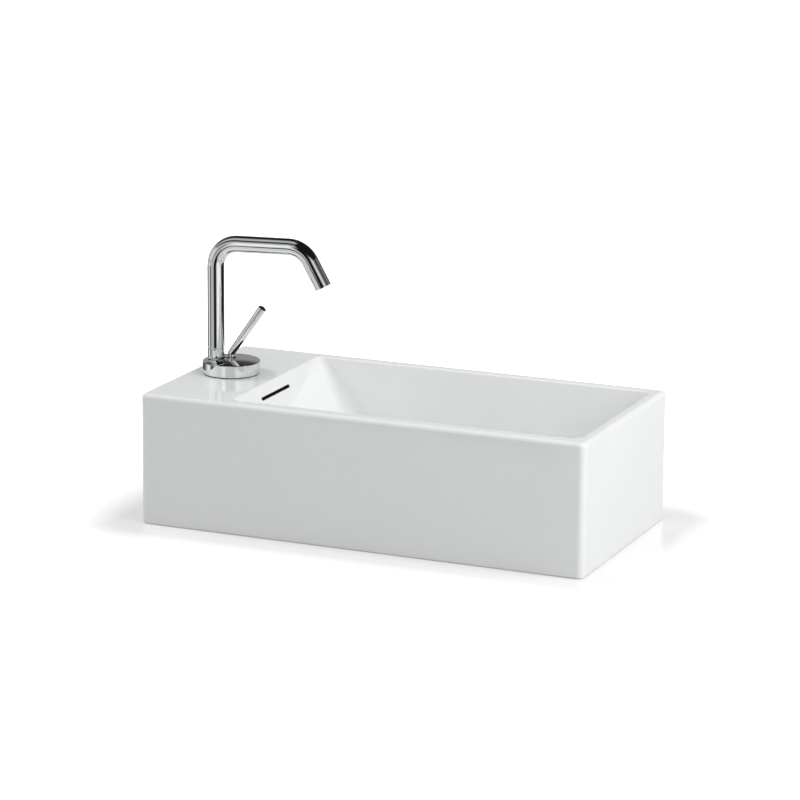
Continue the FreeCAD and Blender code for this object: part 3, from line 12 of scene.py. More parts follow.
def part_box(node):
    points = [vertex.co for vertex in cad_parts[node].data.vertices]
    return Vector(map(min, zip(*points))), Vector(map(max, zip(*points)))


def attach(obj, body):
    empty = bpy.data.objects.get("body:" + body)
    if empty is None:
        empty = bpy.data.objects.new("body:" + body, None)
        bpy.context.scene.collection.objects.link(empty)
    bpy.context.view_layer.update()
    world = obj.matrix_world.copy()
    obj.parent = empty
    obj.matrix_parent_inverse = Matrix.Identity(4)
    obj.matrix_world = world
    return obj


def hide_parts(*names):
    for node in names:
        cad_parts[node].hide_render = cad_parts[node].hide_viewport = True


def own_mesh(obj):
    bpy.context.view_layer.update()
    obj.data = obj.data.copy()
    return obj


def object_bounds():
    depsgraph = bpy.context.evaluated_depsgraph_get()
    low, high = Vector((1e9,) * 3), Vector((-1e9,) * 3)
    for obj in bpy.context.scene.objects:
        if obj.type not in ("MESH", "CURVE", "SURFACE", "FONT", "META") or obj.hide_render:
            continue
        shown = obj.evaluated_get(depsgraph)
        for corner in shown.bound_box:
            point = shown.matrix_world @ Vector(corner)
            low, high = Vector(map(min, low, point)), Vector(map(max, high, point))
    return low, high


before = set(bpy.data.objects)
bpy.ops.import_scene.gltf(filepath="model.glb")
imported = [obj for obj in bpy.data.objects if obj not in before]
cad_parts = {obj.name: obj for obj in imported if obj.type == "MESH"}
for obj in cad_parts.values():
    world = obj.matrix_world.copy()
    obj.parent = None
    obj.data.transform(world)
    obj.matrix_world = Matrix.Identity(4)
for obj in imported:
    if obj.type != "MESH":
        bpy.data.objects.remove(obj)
cad_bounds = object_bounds()

# A wall hung hand-rinse basin in white glaze with a chrome single-hole mixer on its left ledge
# and a chrome press waste. Everything is in metres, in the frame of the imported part: the basin
# is centred on X and Y, its front faces -Y and its foot is at Z = 0.

MILLIMETRE = 0.001

logging.basicConfig(level=logging.INFO, format="%(message)s")
log = logging.getLogger("basin")

Colour = tuple[float, float, float]
Socket = bpy.types.NodeSocket
Source = Socket | float | Colour | tuple[float, ...]


class Slot(Enum):
    """The record's material slots."""

    GLAZE = "glazed_ceramic"
    CHROME = "chrome"
    CAP = "dark_cap"
    RUBBER = "rubber"
    BRASS = "brass"
    STEEL = "steel"
    WHITE_PLASTIC = "white_plastic"
    GREY_PLASTIC = "grey_plastic"
    DISC = "disc_ceramic"


class Tone(Enum):
    """The greys of the cards round the set."""

    BLACK = 0.01
    DARK = 0.10
    DIM = 0.30
    GREY = 0.52
    PALE = 0.88
    WHITE = 1.05


@dataclass(frozen=True)
class Card:
    """A card of one tone that stands from one angle to another, in degrees."""

    start: float
    end: float
    tone: Tone


FULL_TURN = (-180.0, 180.0)
HALF_TURN = (0.0, 180.0)


# ------------------------------------------------------------------------------ node drawing

class Graph:
    """A node tree that is being drawn."""

    def __init__(self, tree: bpy.types.NodeTree) -> None:
        """Starts on an emptied tree."""
        self.tree = tree
        tree.nodes.clear()

    def add(self, kind: str, feeds: dict[str, Source] | None = None, **settings: object
            ) -> bpy.types.Node:
        """Adds one shader node.

        Args:
            kind: The node's type without its ShaderNode prefix.
            feeds: What each input takes: a number, a colour or another node's output.
            settings: The node's own options.

        Returns:
            The new node.
        """
        node = self.tree.nodes.new(f"ShaderNode{kind}")
        for name, value in settings.items():
            setattr(node, name, value)
        for name, source in (feeds or {}).items():
            self.feed(node.inputs[name], source)
        return node

    def feed(self, socket: Socket, source: Source) -> None:
        """Sets a socket to a value, or links it from an output.

        Args:
            socket: The input socket.
            source: A number, a colour or another node's output.
        """
        if isinstance(source, bpy.types.NodeSocket):
            self.tree.links.new(source, socket)
        elif isinstance(source, tuple) and len(source) == 3 and socket.type == "RGBA":
            socket.default_value = (*source, 1.0)
        else:
            socket.default_value = source

    def math(self, operation: str, first: Source, second: Source = 0.0) -> Socket:
        """Adds a Math node.

        Args:
            operation: What the node does.
            first: Its first value.
            second: Its second value.

        Returns:
            The node's output.
        """
        node = self.add("Math", operation=operation)
        self.feed(node.inputs[0], first)
        self.feed(node.inputs[1], second)
        return node.outputs[0]

    def remap(self, value: Source, low: Source, high: Source, to_low: Source, to_high: Source
              ) -> Socket:
        """Adds a Map Range node.

        Args:
            value: What is mapped.
            low: The value that becomes to_low.
            high: The value that becomes to_high.
            to_low: The result at low.
            to_high: The result at high.

        Returns:
            The node's output.
        """
        node = self.add("MapRange", {"Value": value, "From Min": low, "From Max": high,
                                     "To Min": to_low, "To Max": to_high})
        return node.outputs[0]

    def band(self, value: Source, low: float, high: float, soft: float) -> Socket:
        """One between two values, fading out beyond each.

        Args:
            value: What is tested.
            low: The band's lower end.
            high: The band's upper end.
            soft: How wide each fade is.

        Returns:
            The mask.
        """
        above = self.remap(value, low - soft, low, 0.0, 1.0)
        below = self.remap(value, high, high + soft, 1.0, 0.0)
        return self.math("MULTIPLY", above, below)

    def card_tones(self, share: Source, cards: tuple[Card, ...], sweep: tuple[float, float]
                   ) -> Socket:
        """The tone of a row of cards, which blend into each other across their gaps.

        Args:
            share: How far along the sweep the tone is read, from 0 to 1.
            cards: The cards, in order of their angles.
            sweep: The angles that the row spans.

        Returns:
            The grey, which may be brighter than white.
        """
        first, last = sweep
        brightest = max(card.tone.value for card in cards)
        node = self.add("ValToRGB", {"Fac": share})
        elements = node.color_ramp.elements
        edges = [(angle, card.tone.value / brightest)
                 for card in cards for angle in (card.start, card.end)]
        while len(elements) < len(edges):
            elements.new(1.0)
        for element, (angle, grey) in zip(elements, edges):
            element.position = (angle - first) / (last - first)
            element.color = (grey, grey, grey, 1.0)
        return self.math("MULTIPLY", node.outputs[0], brightest)

    def around(self, place: Source, cards: tuple[Card, ...]) -> Socket:
        """The tone at a place's azimuth, where -Y is 0 and +X is 90 degrees.

        Args:
            place: The place or direction, about the origin.
            cards: The cards, from -180 to 180 degrees.

        Returns:
            The grey.
        """
        parts = self.add("SeparateXYZ", {"Vector": place})
        forward = self.math("MULTIPLY", parts.outputs["Y"], -1.0)
        angle = self.math("ARCTAN2", parts.outputs["X"], forward)
        share = self.remap(angle, -math.pi, math.pi, 0.0, 1.0)
        return self.card_tones(share, cards, FULL_TURN)

    def blend(self, factor: Source, first: Source, second: Source) -> Socket:
        """Mixes two colours.

        Args:
            factor: How much of the second colour there is.
            first: The first colour.
            second: The second colour.

        Returns:
            The mix.
        """
        node = self.add("Mix", data_type="RGBA")
        self.feed(node.inputs["Factor"], factor)
        self.feed(node.inputs[6], first)
        self.feed(node.inputs[7], second)
        return node.outputs[2]


@dataclass(frozen=True)
class GroupSocket:
    """One socket of a shared effect."""

    name: str
    kind: str = "Float"
    is_output: bool = False


def new_group(name: str, sockets: tuple[GroupSocket, ...]) -> tuple[bpy.types.NodeTree, Graph,
                                                                    bpy.types.Node,
                                                                    bpy.types.Node]:
    """Makes an empty node group with its sockets.

    Args:
        name: The effect's name.
        sockets: Its inputs and outputs, in order.

    Returns:
        The group, its graph, and its input and output nodes.
    """
    tree = bpy.data.node_groups.new(name, "ShaderNodeTree")
    for socket in sockets:
        tree.interface.new_socket(socket.name, in_out="OUTPUT" if socket.is_output else "INPUT",
                                  socket_type=f"NodeSocket{socket.kind}")
    graph = Graph(tree)
    inside = tree.nodes.new("NodeGroupInput")
    outside = tree.nodes.new("NodeGroupOutput")
    return tree, graph, inside, outside


class Effects:
    """The effects that several finishes share, each built once."""

    def __init__(self) -> None:
        """Builds the node groups."""
        self.gloss = self._build_gloss()
        self.ripple = self._build_ripple()
        self.mottle = self._build_mottle()
        self.turning = self._build_turning()

    @staticmethod
    def _build_gloss() -> bpy.types.NodeTree:
        """A roughness that wanders between two values, as on a wiped surface.

        Returns:
            The effect.
        """
        tree, graph, inside, outside = new_group("wiped_gloss", (
            GroupSocket("Vector", "Vector"), GroupSocket("Scale"), GroupSocket("Smooth"),
            GroupSocket("Dull"), GroupSocket("Roughness", is_output=True)))
        broad = graph.add("TexNoise", {"Vector": inside.outputs["Vector"],
                                       "Scale": inside.outputs["Scale"], "Detail": 3.0,
                                       "Roughness": 0.55, "Distortion": 0.8})
        level = graph.remap(broad.outputs[0], 0.35, 0.7, inside.outputs["Smooth"],
                            inside.outputs["Dull"])
        graph.feed(outside.inputs["Roughness"], level)
        return tree

    @staticmethod
    def _build_ripple() -> bpy.types.NodeTree:
        """The slow waves of a poured, moulded or polished surface, as a normal.

        Returns:
            The effect.
        """
        tree, graph, inside, outside = new_group("surface_ripple", (
            GroupSocket("Vector", "Vector"), GroupSocket("Scale"), GroupSocket("Height"),
            GroupSocket("Normal", "Vector", True)))
        waves = graph.add("TexNoise", {"Vector": inside.outputs["Vector"],
                                       "Scale": inside.outputs["Scale"], "Detail": 1.0,
                                       "Roughness": 0.4})
        bump = graph.add("Bump", {"Strength": 1.0, "Height": waves.outputs[0],
                                  "Distance": inside.outputs["Height"]})
        graph.feed(outside.inputs["Normal"], bump.outputs[0])
        return tree

    @staticmethod
    def _build_mottle() -> bpy.types.NodeTree:
        """Two tones of one colour in soft patches, with finer specks over them.

        Returns:
            The effect.
        """
        tree, graph, inside, outside = new_group("mottle", (
            GroupSocket("Vector", "Vector"), GroupSocket("Scale"),
            GroupSocket("Pale", "Color"), GroupSocket("Deep", "Color"),
            GroupSocket("Color", "Color", True), GroupSocket("Grain", is_output=True)))
        patches = graph.add("TexNoise", {"Vector": inside.outputs["Vector"],
                                         "Scale": inside.outputs["Scale"], "Detail": 5.0,
                                         "Roughness": 0.6})
        finer = graph.math("MULTIPLY", inside.outputs["Scale"], 9.0)
        specks = graph.add("TexNoise", {"Vector": inside.outputs["Vector"], "Scale": finer,
                                        "Detail": 2.0})
        both = graph.math("ADD", graph.math("MULTIPLY", patches.outputs[0], 0.7),
                          graph.math("MULTIPLY", specks.outputs[0], 0.3))
        mask = graph.remap(both, 0.35, 0.65, 0.0, 1.0)
        tone = graph.blend(mask, inside.outputs["Pale"], inside.outputs["Deep"])
        graph.feed(outside.inputs["Color"], tone)
        graph.feed(outside.inputs["Grain"], mask)
        return tree

    @staticmethod
    def _build_turning() -> bpy.types.NodeTree:
        """The rings that a lathe tool leaves round the Z axis of its vector.

        Returns:
            The effect.
        """
        tree, graph, inside, outside = new_group("lathe_rings", (
            GroupSocket("Vector", "Vector"), GroupSocket("Scale"), GroupSocket("Height"),
            GroupSocket("Mask", is_output=True), GroupSocket("Normal", "Vector", True)))
        rings = graph.add("TexWave", {"Vector": inside.outputs["Vector"],
                                      "Scale": inside.outputs["Scale"], "Distortion": 1.2,
                                      "Detail": 2.0, "Detail Scale": 1.5},
                          wave_type="RINGS", rings_direction="SPHERICAL")
        bump = graph.add("Bump", {"Strength": 1.0, "Height": rings.outputs[1],
                                  "Distance": inside.outputs["Height"]})
        graph.feed(outside.inputs["Mask"], rings.outputs[1])
        graph.feed(outside.inputs["Normal"], bump.outputs[0])
        return tree


# ----------------------------------------------------------------------------------- finishes

@dataclass(frozen=True)
class Finish:
    """What all finishes share: their name, their effects and where their pattern is centred."""

    name: str
    effects: Effects
    centre: tuple[float, float, float] = (0.0, 0.0, 0.0)

    def start(self) -> tuple[bpy.types.Material, Graph, Socket, bpy.types.Node]:
        """Makes the material with its shader.

        Returns:
            The material, its graph, the pattern's coordinates and the shader.
        """
        material = bpy.data.materials.new(self.name)
        material.use_nodes = True
        graph = Graph(material.node_tree)
        shader = graph.add("BsdfPrincipled")
        graph.add("OutputMaterial", {"Surface": shader.outputs[0]})
        place = graph.add("TexCoord")
        centred = graph.add("Mapping", {"Vector": place.outputs["Object"],
                                        "Location": tuple(-part for part in self.centre)})
        return material, graph, centred.outputs[0], shader

    def effect(self, graph: Graph, tree: bpy.types.NodeTree, feeds: dict[str, Source]
               ) -> bpy.types.Node:
        """Places a shared effect with this finish's own values.

        Args:
            graph: The material's graph.
            tree: The effect.
            feeds: What each of its inputs takes.

        Returns:
            The effect's node.
        """
        node = graph.add("Group", node_tree=tree)
        for name, source in feeds.items():
            graph.feed(node.inputs[name], source)
        return node


@dataclass(frozen=True)
class OverflowDuct:
    """The hollow behind the bowl's sloped wall, which the overflow slot opens into.

    The sloped wall falls from rim_x at the rim to floor_x at the floor.
    """

    rim_x: float
    rim_z: float
    floor_x: float
    floor_z: float
    middle_y: float
    half_width: float
    lip: float
    depth: float

    def mask(self, graph: Graph, place: Socket) -> Socket:
        """One inside the duct, where the glaze gets its painted shade, zero outside it.

        Args:
            graph: The material's graph.
            place: The pattern's coordinates.

        Returns:
            The mask.
        """
        parts = graph.add("SeparateXYZ", {"Vector": place})
        wall = graph.remap(parts.outputs["Z"], self.floor_z, self.rim_z, self.floor_x,
                           self.rim_x)
        behind = graph.math("SUBTRACT", wall, parts.outputs["X"])
        sideways = graph.math("ABSOLUTE", graph.math("SUBTRACT", parts.outputs["Y"],
                                                     self.middle_y))
        deep = graph.band(behind, self.lip, self.depth, 0.5 * MILLIMETRE)
        within = graph.remap(sideways, self.half_width, self.half_width + 0.5 * MILLIMETRE,
                             1.0, 0.0)
        below = graph.remap(parts.outputs["Z"], self.rim_z - 2 * MILLIMETRE,
                            self.rim_z - MILLIMETRE, 1.0, 0.0)
        return graph.math("MULTIPLY", graph.math("MULTIPLY", deep, within), below)


@dataclass(frozen=True)
class Glaze(Finish):
    """White sanitary glaze over fired clay, which is bare on the wall face and the foot. Inside
    the overflow duct the glaze is painted near black as painted shade.
    """

    duct: OverflowDuct | None = None
    # Near-black painted shade for the inside of the overflow duct behind the slot.
    painted_duct_shade: Colour = (0.012, 0.011, 0.010)
    pale: Colour = (0.885, 0.895, 0.893)
    deep: Colour = (0.865, 0.877, 0.876)
    clay_pale: Colour = (0.80, 0.77, 0.71)
    clay_deep: Colour = (0.70, 0.665, 0.60)
    wall_face: float = 0.125
    clay_depth: float = 0.0006
    foot_height: float = 0.0008

    def build(self) -> bpy.types.Material:
        """Makes the material.

        Returns:
            The material.
        """
        material, graph, place, shader = self.start()
        glaze = self.effect(graph, self.effects.mottle, {
            "Vector": place, "Scale": 7.0, "Pale": self.pale, "Deep": self.deep})
        clay = self.effect(graph, self.effects.mottle, {
            "Vector": place, "Scale": 60.0, "Pale": self.clay_pale, "Deep": self.clay_deep})
        bare = self._bare_mask(graph, place)
        gloss = self.effect(graph, self.effects.gloss, {
            "Vector": place, "Scale": 9.0, "Smooth": 0.035, "Dull": 0.085})
        ripple = self.effect(graph, self.effects.ripple, {
            "Vector": place, "Scale": 26.0, "Height": 0.00012})
        colour = graph.blend(bare, glaze.outputs["Color"], clay.outputs["Color"])
        # Painted shade: the glaze turns near black inside the overflow duct, where there is only
        # shade.
        inside = self.duct.mask(graph, place)
        colour = graph.blend(inside, colour, self.painted_duct_shade)
        dull = graph.math("MAXIMUM", bare, inside)
        roughness = graph.remap(dull, 0.0, 1.0, gloss.outputs[0], 0.8)
        graph.feed(shader.inputs["Base Color"], colour)
        graph.feed(shader.inputs["Roughness"], roughness)
        graph.feed(shader.inputs["Normal"], ripple.outputs[0])
        shader.inputs["IOR"].default_value = 1.52
        return material

    def _bare_mask(self, graph: Graph, place: Socket) -> Socket:
        """One where the clay is bare, zero under glaze.

        Args:
            graph: The material's graph.
            place: The pattern's coordinates.

        Returns:
            The mask.
        """
        parts = graph.add("SeparateXYZ", {"Vector": place})
        edge = graph.add("TexNoise", {"Vector": place, "Scale": 180.0, "Detail": 2.0})
        wander = graph.math("MULTIPLY", edge.outputs[0], self.clay_depth)
        back = graph.math("ADD", parts.outputs["Y"], wander)
        wall = graph.remap(back, self.wall_face - self.clay_depth * 0.6,
                           self.wall_face - self.clay_depth * 0.1, 0.0, 1.0)
        low = graph.math("ADD", parts.outputs["Z"], wander)
        foot = graph.remap(low, self.foot_height * 1.6, self.foot_height, 0.0, 1.0)
        return graph.math("MAXIMUM", wall, foot)


@dataclass(frozen=True)
class Chrome(Finish):
    """Polished chrome plate with the faint haze of wiping."""

    pale: Colour = (0.83, 0.84, 0.85)
    deep: Colour = (0.79, 0.80, 0.815)
    smooth: float = 0.012
    dull: float = 0.05
    ripple: float = 0.00001

    def build(self) -> bpy.types.Material:
        """Makes the material.

        Returns:
            The material.
        """
        material, graph, place, shader = self.start()
        tone = self.effect(graph, self.effects.mottle, {
            "Vector": place, "Scale": 30.0, "Pale": self.pale, "Deep": self.deep})
        gloss = self.effect(graph, self.effects.gloss, {
            "Vector": place, "Scale": 38.0, "Smooth": self.smooth, "Dull": self.dull})
        waves = self.effect(graph, self.effects.ripple, {
            "Vector": place, "Scale": 90.0, "Height": self.ripple})
        shader.inputs["Metallic"].default_value = 1.0
        graph.feed(shader.inputs["Base Color"], tone.outputs["Color"])
        graph.feed(shader.inputs["Roughness"], gloss.outputs[0])
        graph.feed(shader.inputs["Normal"], waves.outputs[0])
        return material


@dataclass(frozen=True)
class TurnedMetal(Finish):
    """Bare metal straight from the lathe."""

    pale: Colour = (0.78, 0.62, 0.36)
    deep: Colour = (0.66, 0.50, 0.25)
    smooth: float = 0.22
    dull: float = 0.42
    ring_scale: float = 260.0

    def build(self) -> bpy.types.Material:
        """Makes the material.

        Returns:
            The material.
        """
        material, graph, place, shader = self.start()
        tone = self.effect(graph, self.effects.mottle, {
            "Vector": place, "Scale": 120.0, "Pale": self.pale, "Deep": self.deep})
        gloss = self.effect(graph, self.effects.gloss, {
            "Vector": place, "Scale": 90.0, "Smooth": self.smooth, "Dull": self.dull})
        rings = self.effect(graph, self.effects.turning, {
            "Vector": place, "Scale": self.ring_scale, "Height": 0.00002})
        shader.inputs["Metallic"].default_value = 1.0
        graph.feed(shader.inputs["Base Color"], tone.outputs["Color"])
        graph.feed(shader.inputs["Roughness"], gloss.outputs[0])
        graph.feed(shader.inputs["Normal"], rings.outputs["Normal"])
        return material


@dataclass(frozen=True)
class Moulded(Finish):
    """A moulded plastic, rubber or ground ceramic: two tones, a grain and a dull gloss."""

    pale: Colour = (0.85, 0.85, 0.83)
    deep: Colour = (0.79, 0.79, 0.77)
    smooth: float = 0.35
    dull: float = 0.5
    grain_scale: float = 900.0
    grain_height: float = 0.00001
    tone_scale: float = 140.0

    def build(self) -> bpy.types.Material:
        """Makes the material.

        Returns:
            The material.
        """
        material, graph, place, shader = self.start()
        tone = self.effect(graph, self.effects.mottle, {
            "Vector": place, "Scale": self.tone_scale, "Pale": self.pale, "Deep": self.deep})
        gloss = self.effect(graph, self.effects.gloss, {
            "Vector": place, "Scale": 110.0, "Smooth": self.smooth, "Dull": self.dull})
        grain = self.effect(graph, self.effects.ripple, {
            "Vector": place, "Scale": self.grain_scale, "Height": self.grain_height})
        graph.feed(shader.inputs["Base Color"], tone.outputs["Color"])
        graph.feed(shader.inputs["Roughness"], gloss.outputs[0])
        graph.feed(shader.inputs["Normal"], grain.outputs[0])
        return material


class FinishBook:
    """Every finish of the object, built once for each axis it is centred on."""

    def __init__(self, tap: Vector, drain: Vector, duct: OverflowDuct) -> None:
        """Builds the finishes.

        Args:
            tap: A point on the mixer's axis.
            drain: A point on the waste's axis.
            duct: The overflow duct, whose inside is painted near black as painted shade.
        """
        effects = Effects()
        dark = (0.012, 0.012, 0.013)
        grey = (0.32, 0.33, 0.34)
        makers = {
            (Slot.GLAZE, "any"): Glaze("white_glaze", effects, duct=duct),
            (Slot.CHROME, "any"): Chrome("chrome_plate", effects),
            (Slot.CAP, "any"): Moulded("dark_cap_gloss", effects, pale=dark,
                                       deep=(0.02, 0.02, 0.022), smooth=0.08, dull=0.2),
            (Slot.RUBBER, "any"): Moulded("black_rubber", effects, pale=(0.03, 0.03, 0.03),
                                          deep=(0.018, 0.018, 0.018), smooth=0.6, dull=0.8,
                                          grain_height=0.00003),
            (Slot.WHITE_PLASTIC, "any"): Moulded("white_acetal", effects),
            (Slot.GREY_PLASTIC, "any"): Moulded("grey_plastic", effects, pale=grey,
                                                deep=(0.27, 0.28, 0.29)),
            (Slot.DISC, "any"): Moulded("ground_ceramic", effects, pale=(0.88, 0.87, 0.84),
                                        deep=(0.83, 0.82, 0.79), smooth=0.12, dull=0.2),
        }
        for name, point in (("tap", tap), ("drain", drain)):
            makers[(Slot.BRASS, name)] = TurnedMetal(f"brass_{name}", effects, tuple(point))
            makers[(Slot.STEEL, name)] = TurnedMetal(
                f"steel_{name}", effects, tuple(point), pale=(0.66, 0.66, 0.67),
                deep=(0.56, 0.56, 0.575), smooth=0.16, dull=0.32)
        self.materials = {key: finish.build() for key, finish in makers.items()}

    def get(self, slot: Slot, axis: str) -> bpy.types.Material:
        """The material of a slot, centred on the named axis where it has one."""
        return self.materials.get((slot, axis)) or self.materials[(slot, "any")]


# ------------------------------------------------------------------------------------- studio

@dataclass(frozen=True)
class PhotoCamera:
    """The photograph's camera, solved from the basin's corners."""

    yaw: float = 23.2
    pitch: float = 14.01
    roll: float = 0.42
    focal: float = 160.8
    sensor: float = 36.0
    right: float = -0.004
    rise: float = 0.129
    distance: float = 3.814

    def build(self) -> None:
        """Makes the camera and gives it to the scene."""
        turn = Euler((math.radians(90.0 - self.pitch), 0.0, math.radians(self.yaw))).to_matrix()
        turn = turn @ Matrix.Rotation(math.radians(self.roll), 3, "Z")
        lens = bpy.data.cameras.new("photo_camera")
        lens.lens = self.focal
        lens.sensor_width = self.sensor
        camera = bpy.data.objects.new("photo_camera", lens)
        camera.matrix_world = Matrix.Translation(
            turn @ Vector((self.right, self.rise, self.distance))) @ turn.to_4x4()
        bpy.context.scene.collection.objects.link(camera)
        bpy.context.scene.camera = camera


@dataclass(frozen=True)
class SoftLight:
    """A soft box that looks at the basin and that mirrors don't see."""

    name: str
    azimuth: float
    elevation: float
    distance: float
    width: float
    height: float
    power: float

    def build(self, target: Vector) -> None:
        """Hangs the light round the target.

        Args:
            target: What it looks at.
        """
        turn, rise = math.radians(self.azimuth), math.radians(self.elevation)
        away = Vector((math.sin(turn) * math.cos(rise), -math.cos(turn) * math.cos(rise),
                       math.sin(rise)))
        data = bpy.data.lights.new(self.name, "AREA")
        data.shape = "RECTANGLE"
        data.size = self.width
        data.size_y = self.height
        data.energy = self.power
        lamp = bpy.data.objects.new(self.name, data)
        lamp.location = target + away * self.distance
        lamp.rotation_euler = away.to_track_quat("Z", "Y").to_euler()
        lamp.visible_glossy = False
        bpy.context.scene.collection.objects.link(lamp)


def hide_from_all_but_mirrors(board: bpy.types.Object) -> None:
    """Leaves a board out of everything but reflections.

    Args:
        board: The board.
    """
    for kind in ("camera", "diffuse", "transmission", "volume_scatter", "shadow"):
        setattr(board, f"visible_{kind}", False)


def glowing_material(name: str, draw_tone: Callable[[Graph], Source],
                     clear_within: float = 0.0) -> bpy.types.Material:
    """Makes a plain glowing material.

    Args:
        name: The material's name.
        draw_tone: Draws what the glow's grey comes from.
        clear_within: It is clear to a ray shorter than this.

    Returns:
        The material.
    """
    material = bpy.data.materials.new(name)
    material.use_nodes = True
    graph = Graph(material.node_tree)
    glow = graph.add("Emission", {"Color": draw_tone(graph)})
    clear = graph.add("BsdfTransparent")
    path = graph.add("LightPath")
    far = graph.math("GREATER_THAN", path.outputs["Ray Length"], clear_within)
    both = graph.add("MixShader")
    for socket, source in zip(both.inputs, (far, clear.outputs[0], glow.outputs[0])):
        graph.feed(socket, source)
    graph.add("OutputMaterial", {"Surface": both.outputs[0]})
    return material


@dataclass(frozen=True)
class CardRing:
    """Low cards that stand in a ring round the mixer and that only mirrors see.

    Their angles are azimuths, where 0 is the basin's front and 90 its right-hand side. The ring is
    clear from nearby, so that the basin's own faces, which stand closer to it than the tube
    does, don't mirror it.
    """

    cards: tuple[Card, ...]
    radius: float = 0.6
    sides: int = 128
    high: float = 0.14
    clear_within: float = 0.45

    def build(self, target: Vector) -> None:
        """Stands the wall round the target.

        Args:
            target: The middle of the ring.
        """
        bpy.ops.object.select_all(action="DESELECT")
        bpy.ops.mesh.primitive_cylinder_add(
            vertices=self.sides, radius=self.radius, depth=self.high, end_fill_type="NOTHING",
            location=(target.x, target.y, self.high / 2))
        ring = bpy.context.object
        ring.name = "tone_ring"
        bpy.ops.object.transform_apply(location=True, rotation=True, scale=True)

        def draw_tone(graph: Graph) -> Source:
            """The tone of the ring's cards, centred on the target.

            Args:
                graph: The material's graph.

            Returns:
                The grey.
            """
            place = graph.add("TexCoord")
            centred = graph.add("Mapping", {"Vector": place.outputs["Object"],
                                            "Location": (-target.x, -target.y, 0.0)})
            return graph.around(centred.outputs[0], self.cards)

        ring.data.materials.append(glowing_material("ring_tones", draw_tone,
                                                    self.clear_within))
        hide_from_all_but_mirrors(ring)


@dataclass(frozen=True)
class Board:
    """A flat upright board in front of the basin that only mirrors see."""

    name: str
    left: float
    right: float
    away: float
    low: float
    high: float
    tone: Tone

    def build(self) -> None:
        """Stands the board up, facing the basin."""
        bpy.ops.object.select_all(action="DESELECT")
        bpy.ops.mesh.primitive_plane_add(
            size=1.0, rotation=(math.pi / 2, 0.0, 0.0),
            location=((self.left + self.right) / 2, -self.away, (self.low + self.high) / 2))
        board = bpy.context.object
        board.name = self.name
        board.scale = (self.right - self.left, self.high - self.low, 1.0)
        bpy.ops.object.transform_apply(location=True, rotation=True, scale=True)
        board.data.materials.append(glowing_material(
            f"{self.name}_paint", lambda graph: (self.tone.value,) * 3))
        hide_from_all_but_mirrors(board)


@dataclass(frozen=True)
class Room:
    """The studio's walls and ceiling: white to the camera, and hung with cards for mirrors.

    A wall card's angles are azimuths, where 0 is the basin's front and 90 its right-hand
    side. A ceiling card's angles run from the floor line in front, 0, over the top, 90, to
    the floor line behind, 180. The ceiling is black to the right of the mixer.
    """

    walls: tuple[Card, ...]
    ceiling: tuple[Card, ...]
    fill: float
    wall_top: tuple[float, float] = (0.3, 0.42)
    black_from: tuple[float, float] = (0.08, 0.2)

    def build(self) -> None:
        """Makes the world."""
        world = bpy.data.worlds.new("white_room")
        world.use_nodes = True
        bpy.context.scene.world = world
        graph = Graph(world.node_tree)
        path = graph.add("LightPath")
        tone = self._mirror_tone(graph)
        mirror = graph.math("MAXIMUM", path.outputs["Is Glossy Ray"],
                            path.outputs["Is Transmission Ray"])
        level = graph.blend(mirror, (self.fill,) * 3, tone)
        level = graph.blend(path.outputs["Is Camera Ray"], level, (1.0, 1.0, 1.0))
        light = graph.add("Background", {"Color": level, "Strength": 1.0})
        graph.add("OutputWorld", {"Surface": light.outputs[0]})

    def _mirror_tone(self, graph: Graph) -> Socket:
        """The grey that a mirror sees in each direction.

        Args:
            graph: The world's graph.

        Returns:
            The grey.
        """
        place = graph.add("TexCoord")
        parts = graph.add("SeparateXYZ", {"Vector": place.outputs["Generated"]})
        walls = graph.around(place.outputs["Generated"], self.walls)
        upward = graph.math("MAXIMUM", parts.outputs["Z"], 0.0)
        forward = graph.math("MULTIPLY", parts.outputs["Y"], -1.0)
        over = graph.math("DIVIDE", graph.math("ARCTAN2", upward, forward), math.pi)
        ceiling = graph.card_tones(over, self.ceiling, HALF_TURN)
        rightward = graph.remap(parts.outputs["X"], *self.black_from, 0.0, 1.0)
        ceiling = graph.blend(rightward, ceiling, (Tone.BLACK.value,) * 3)
        height = graph.remap(parts.outputs["Z"], *self.wall_top, 0.0, 1.0)
        return graph.blend(height, walls, ceiling)


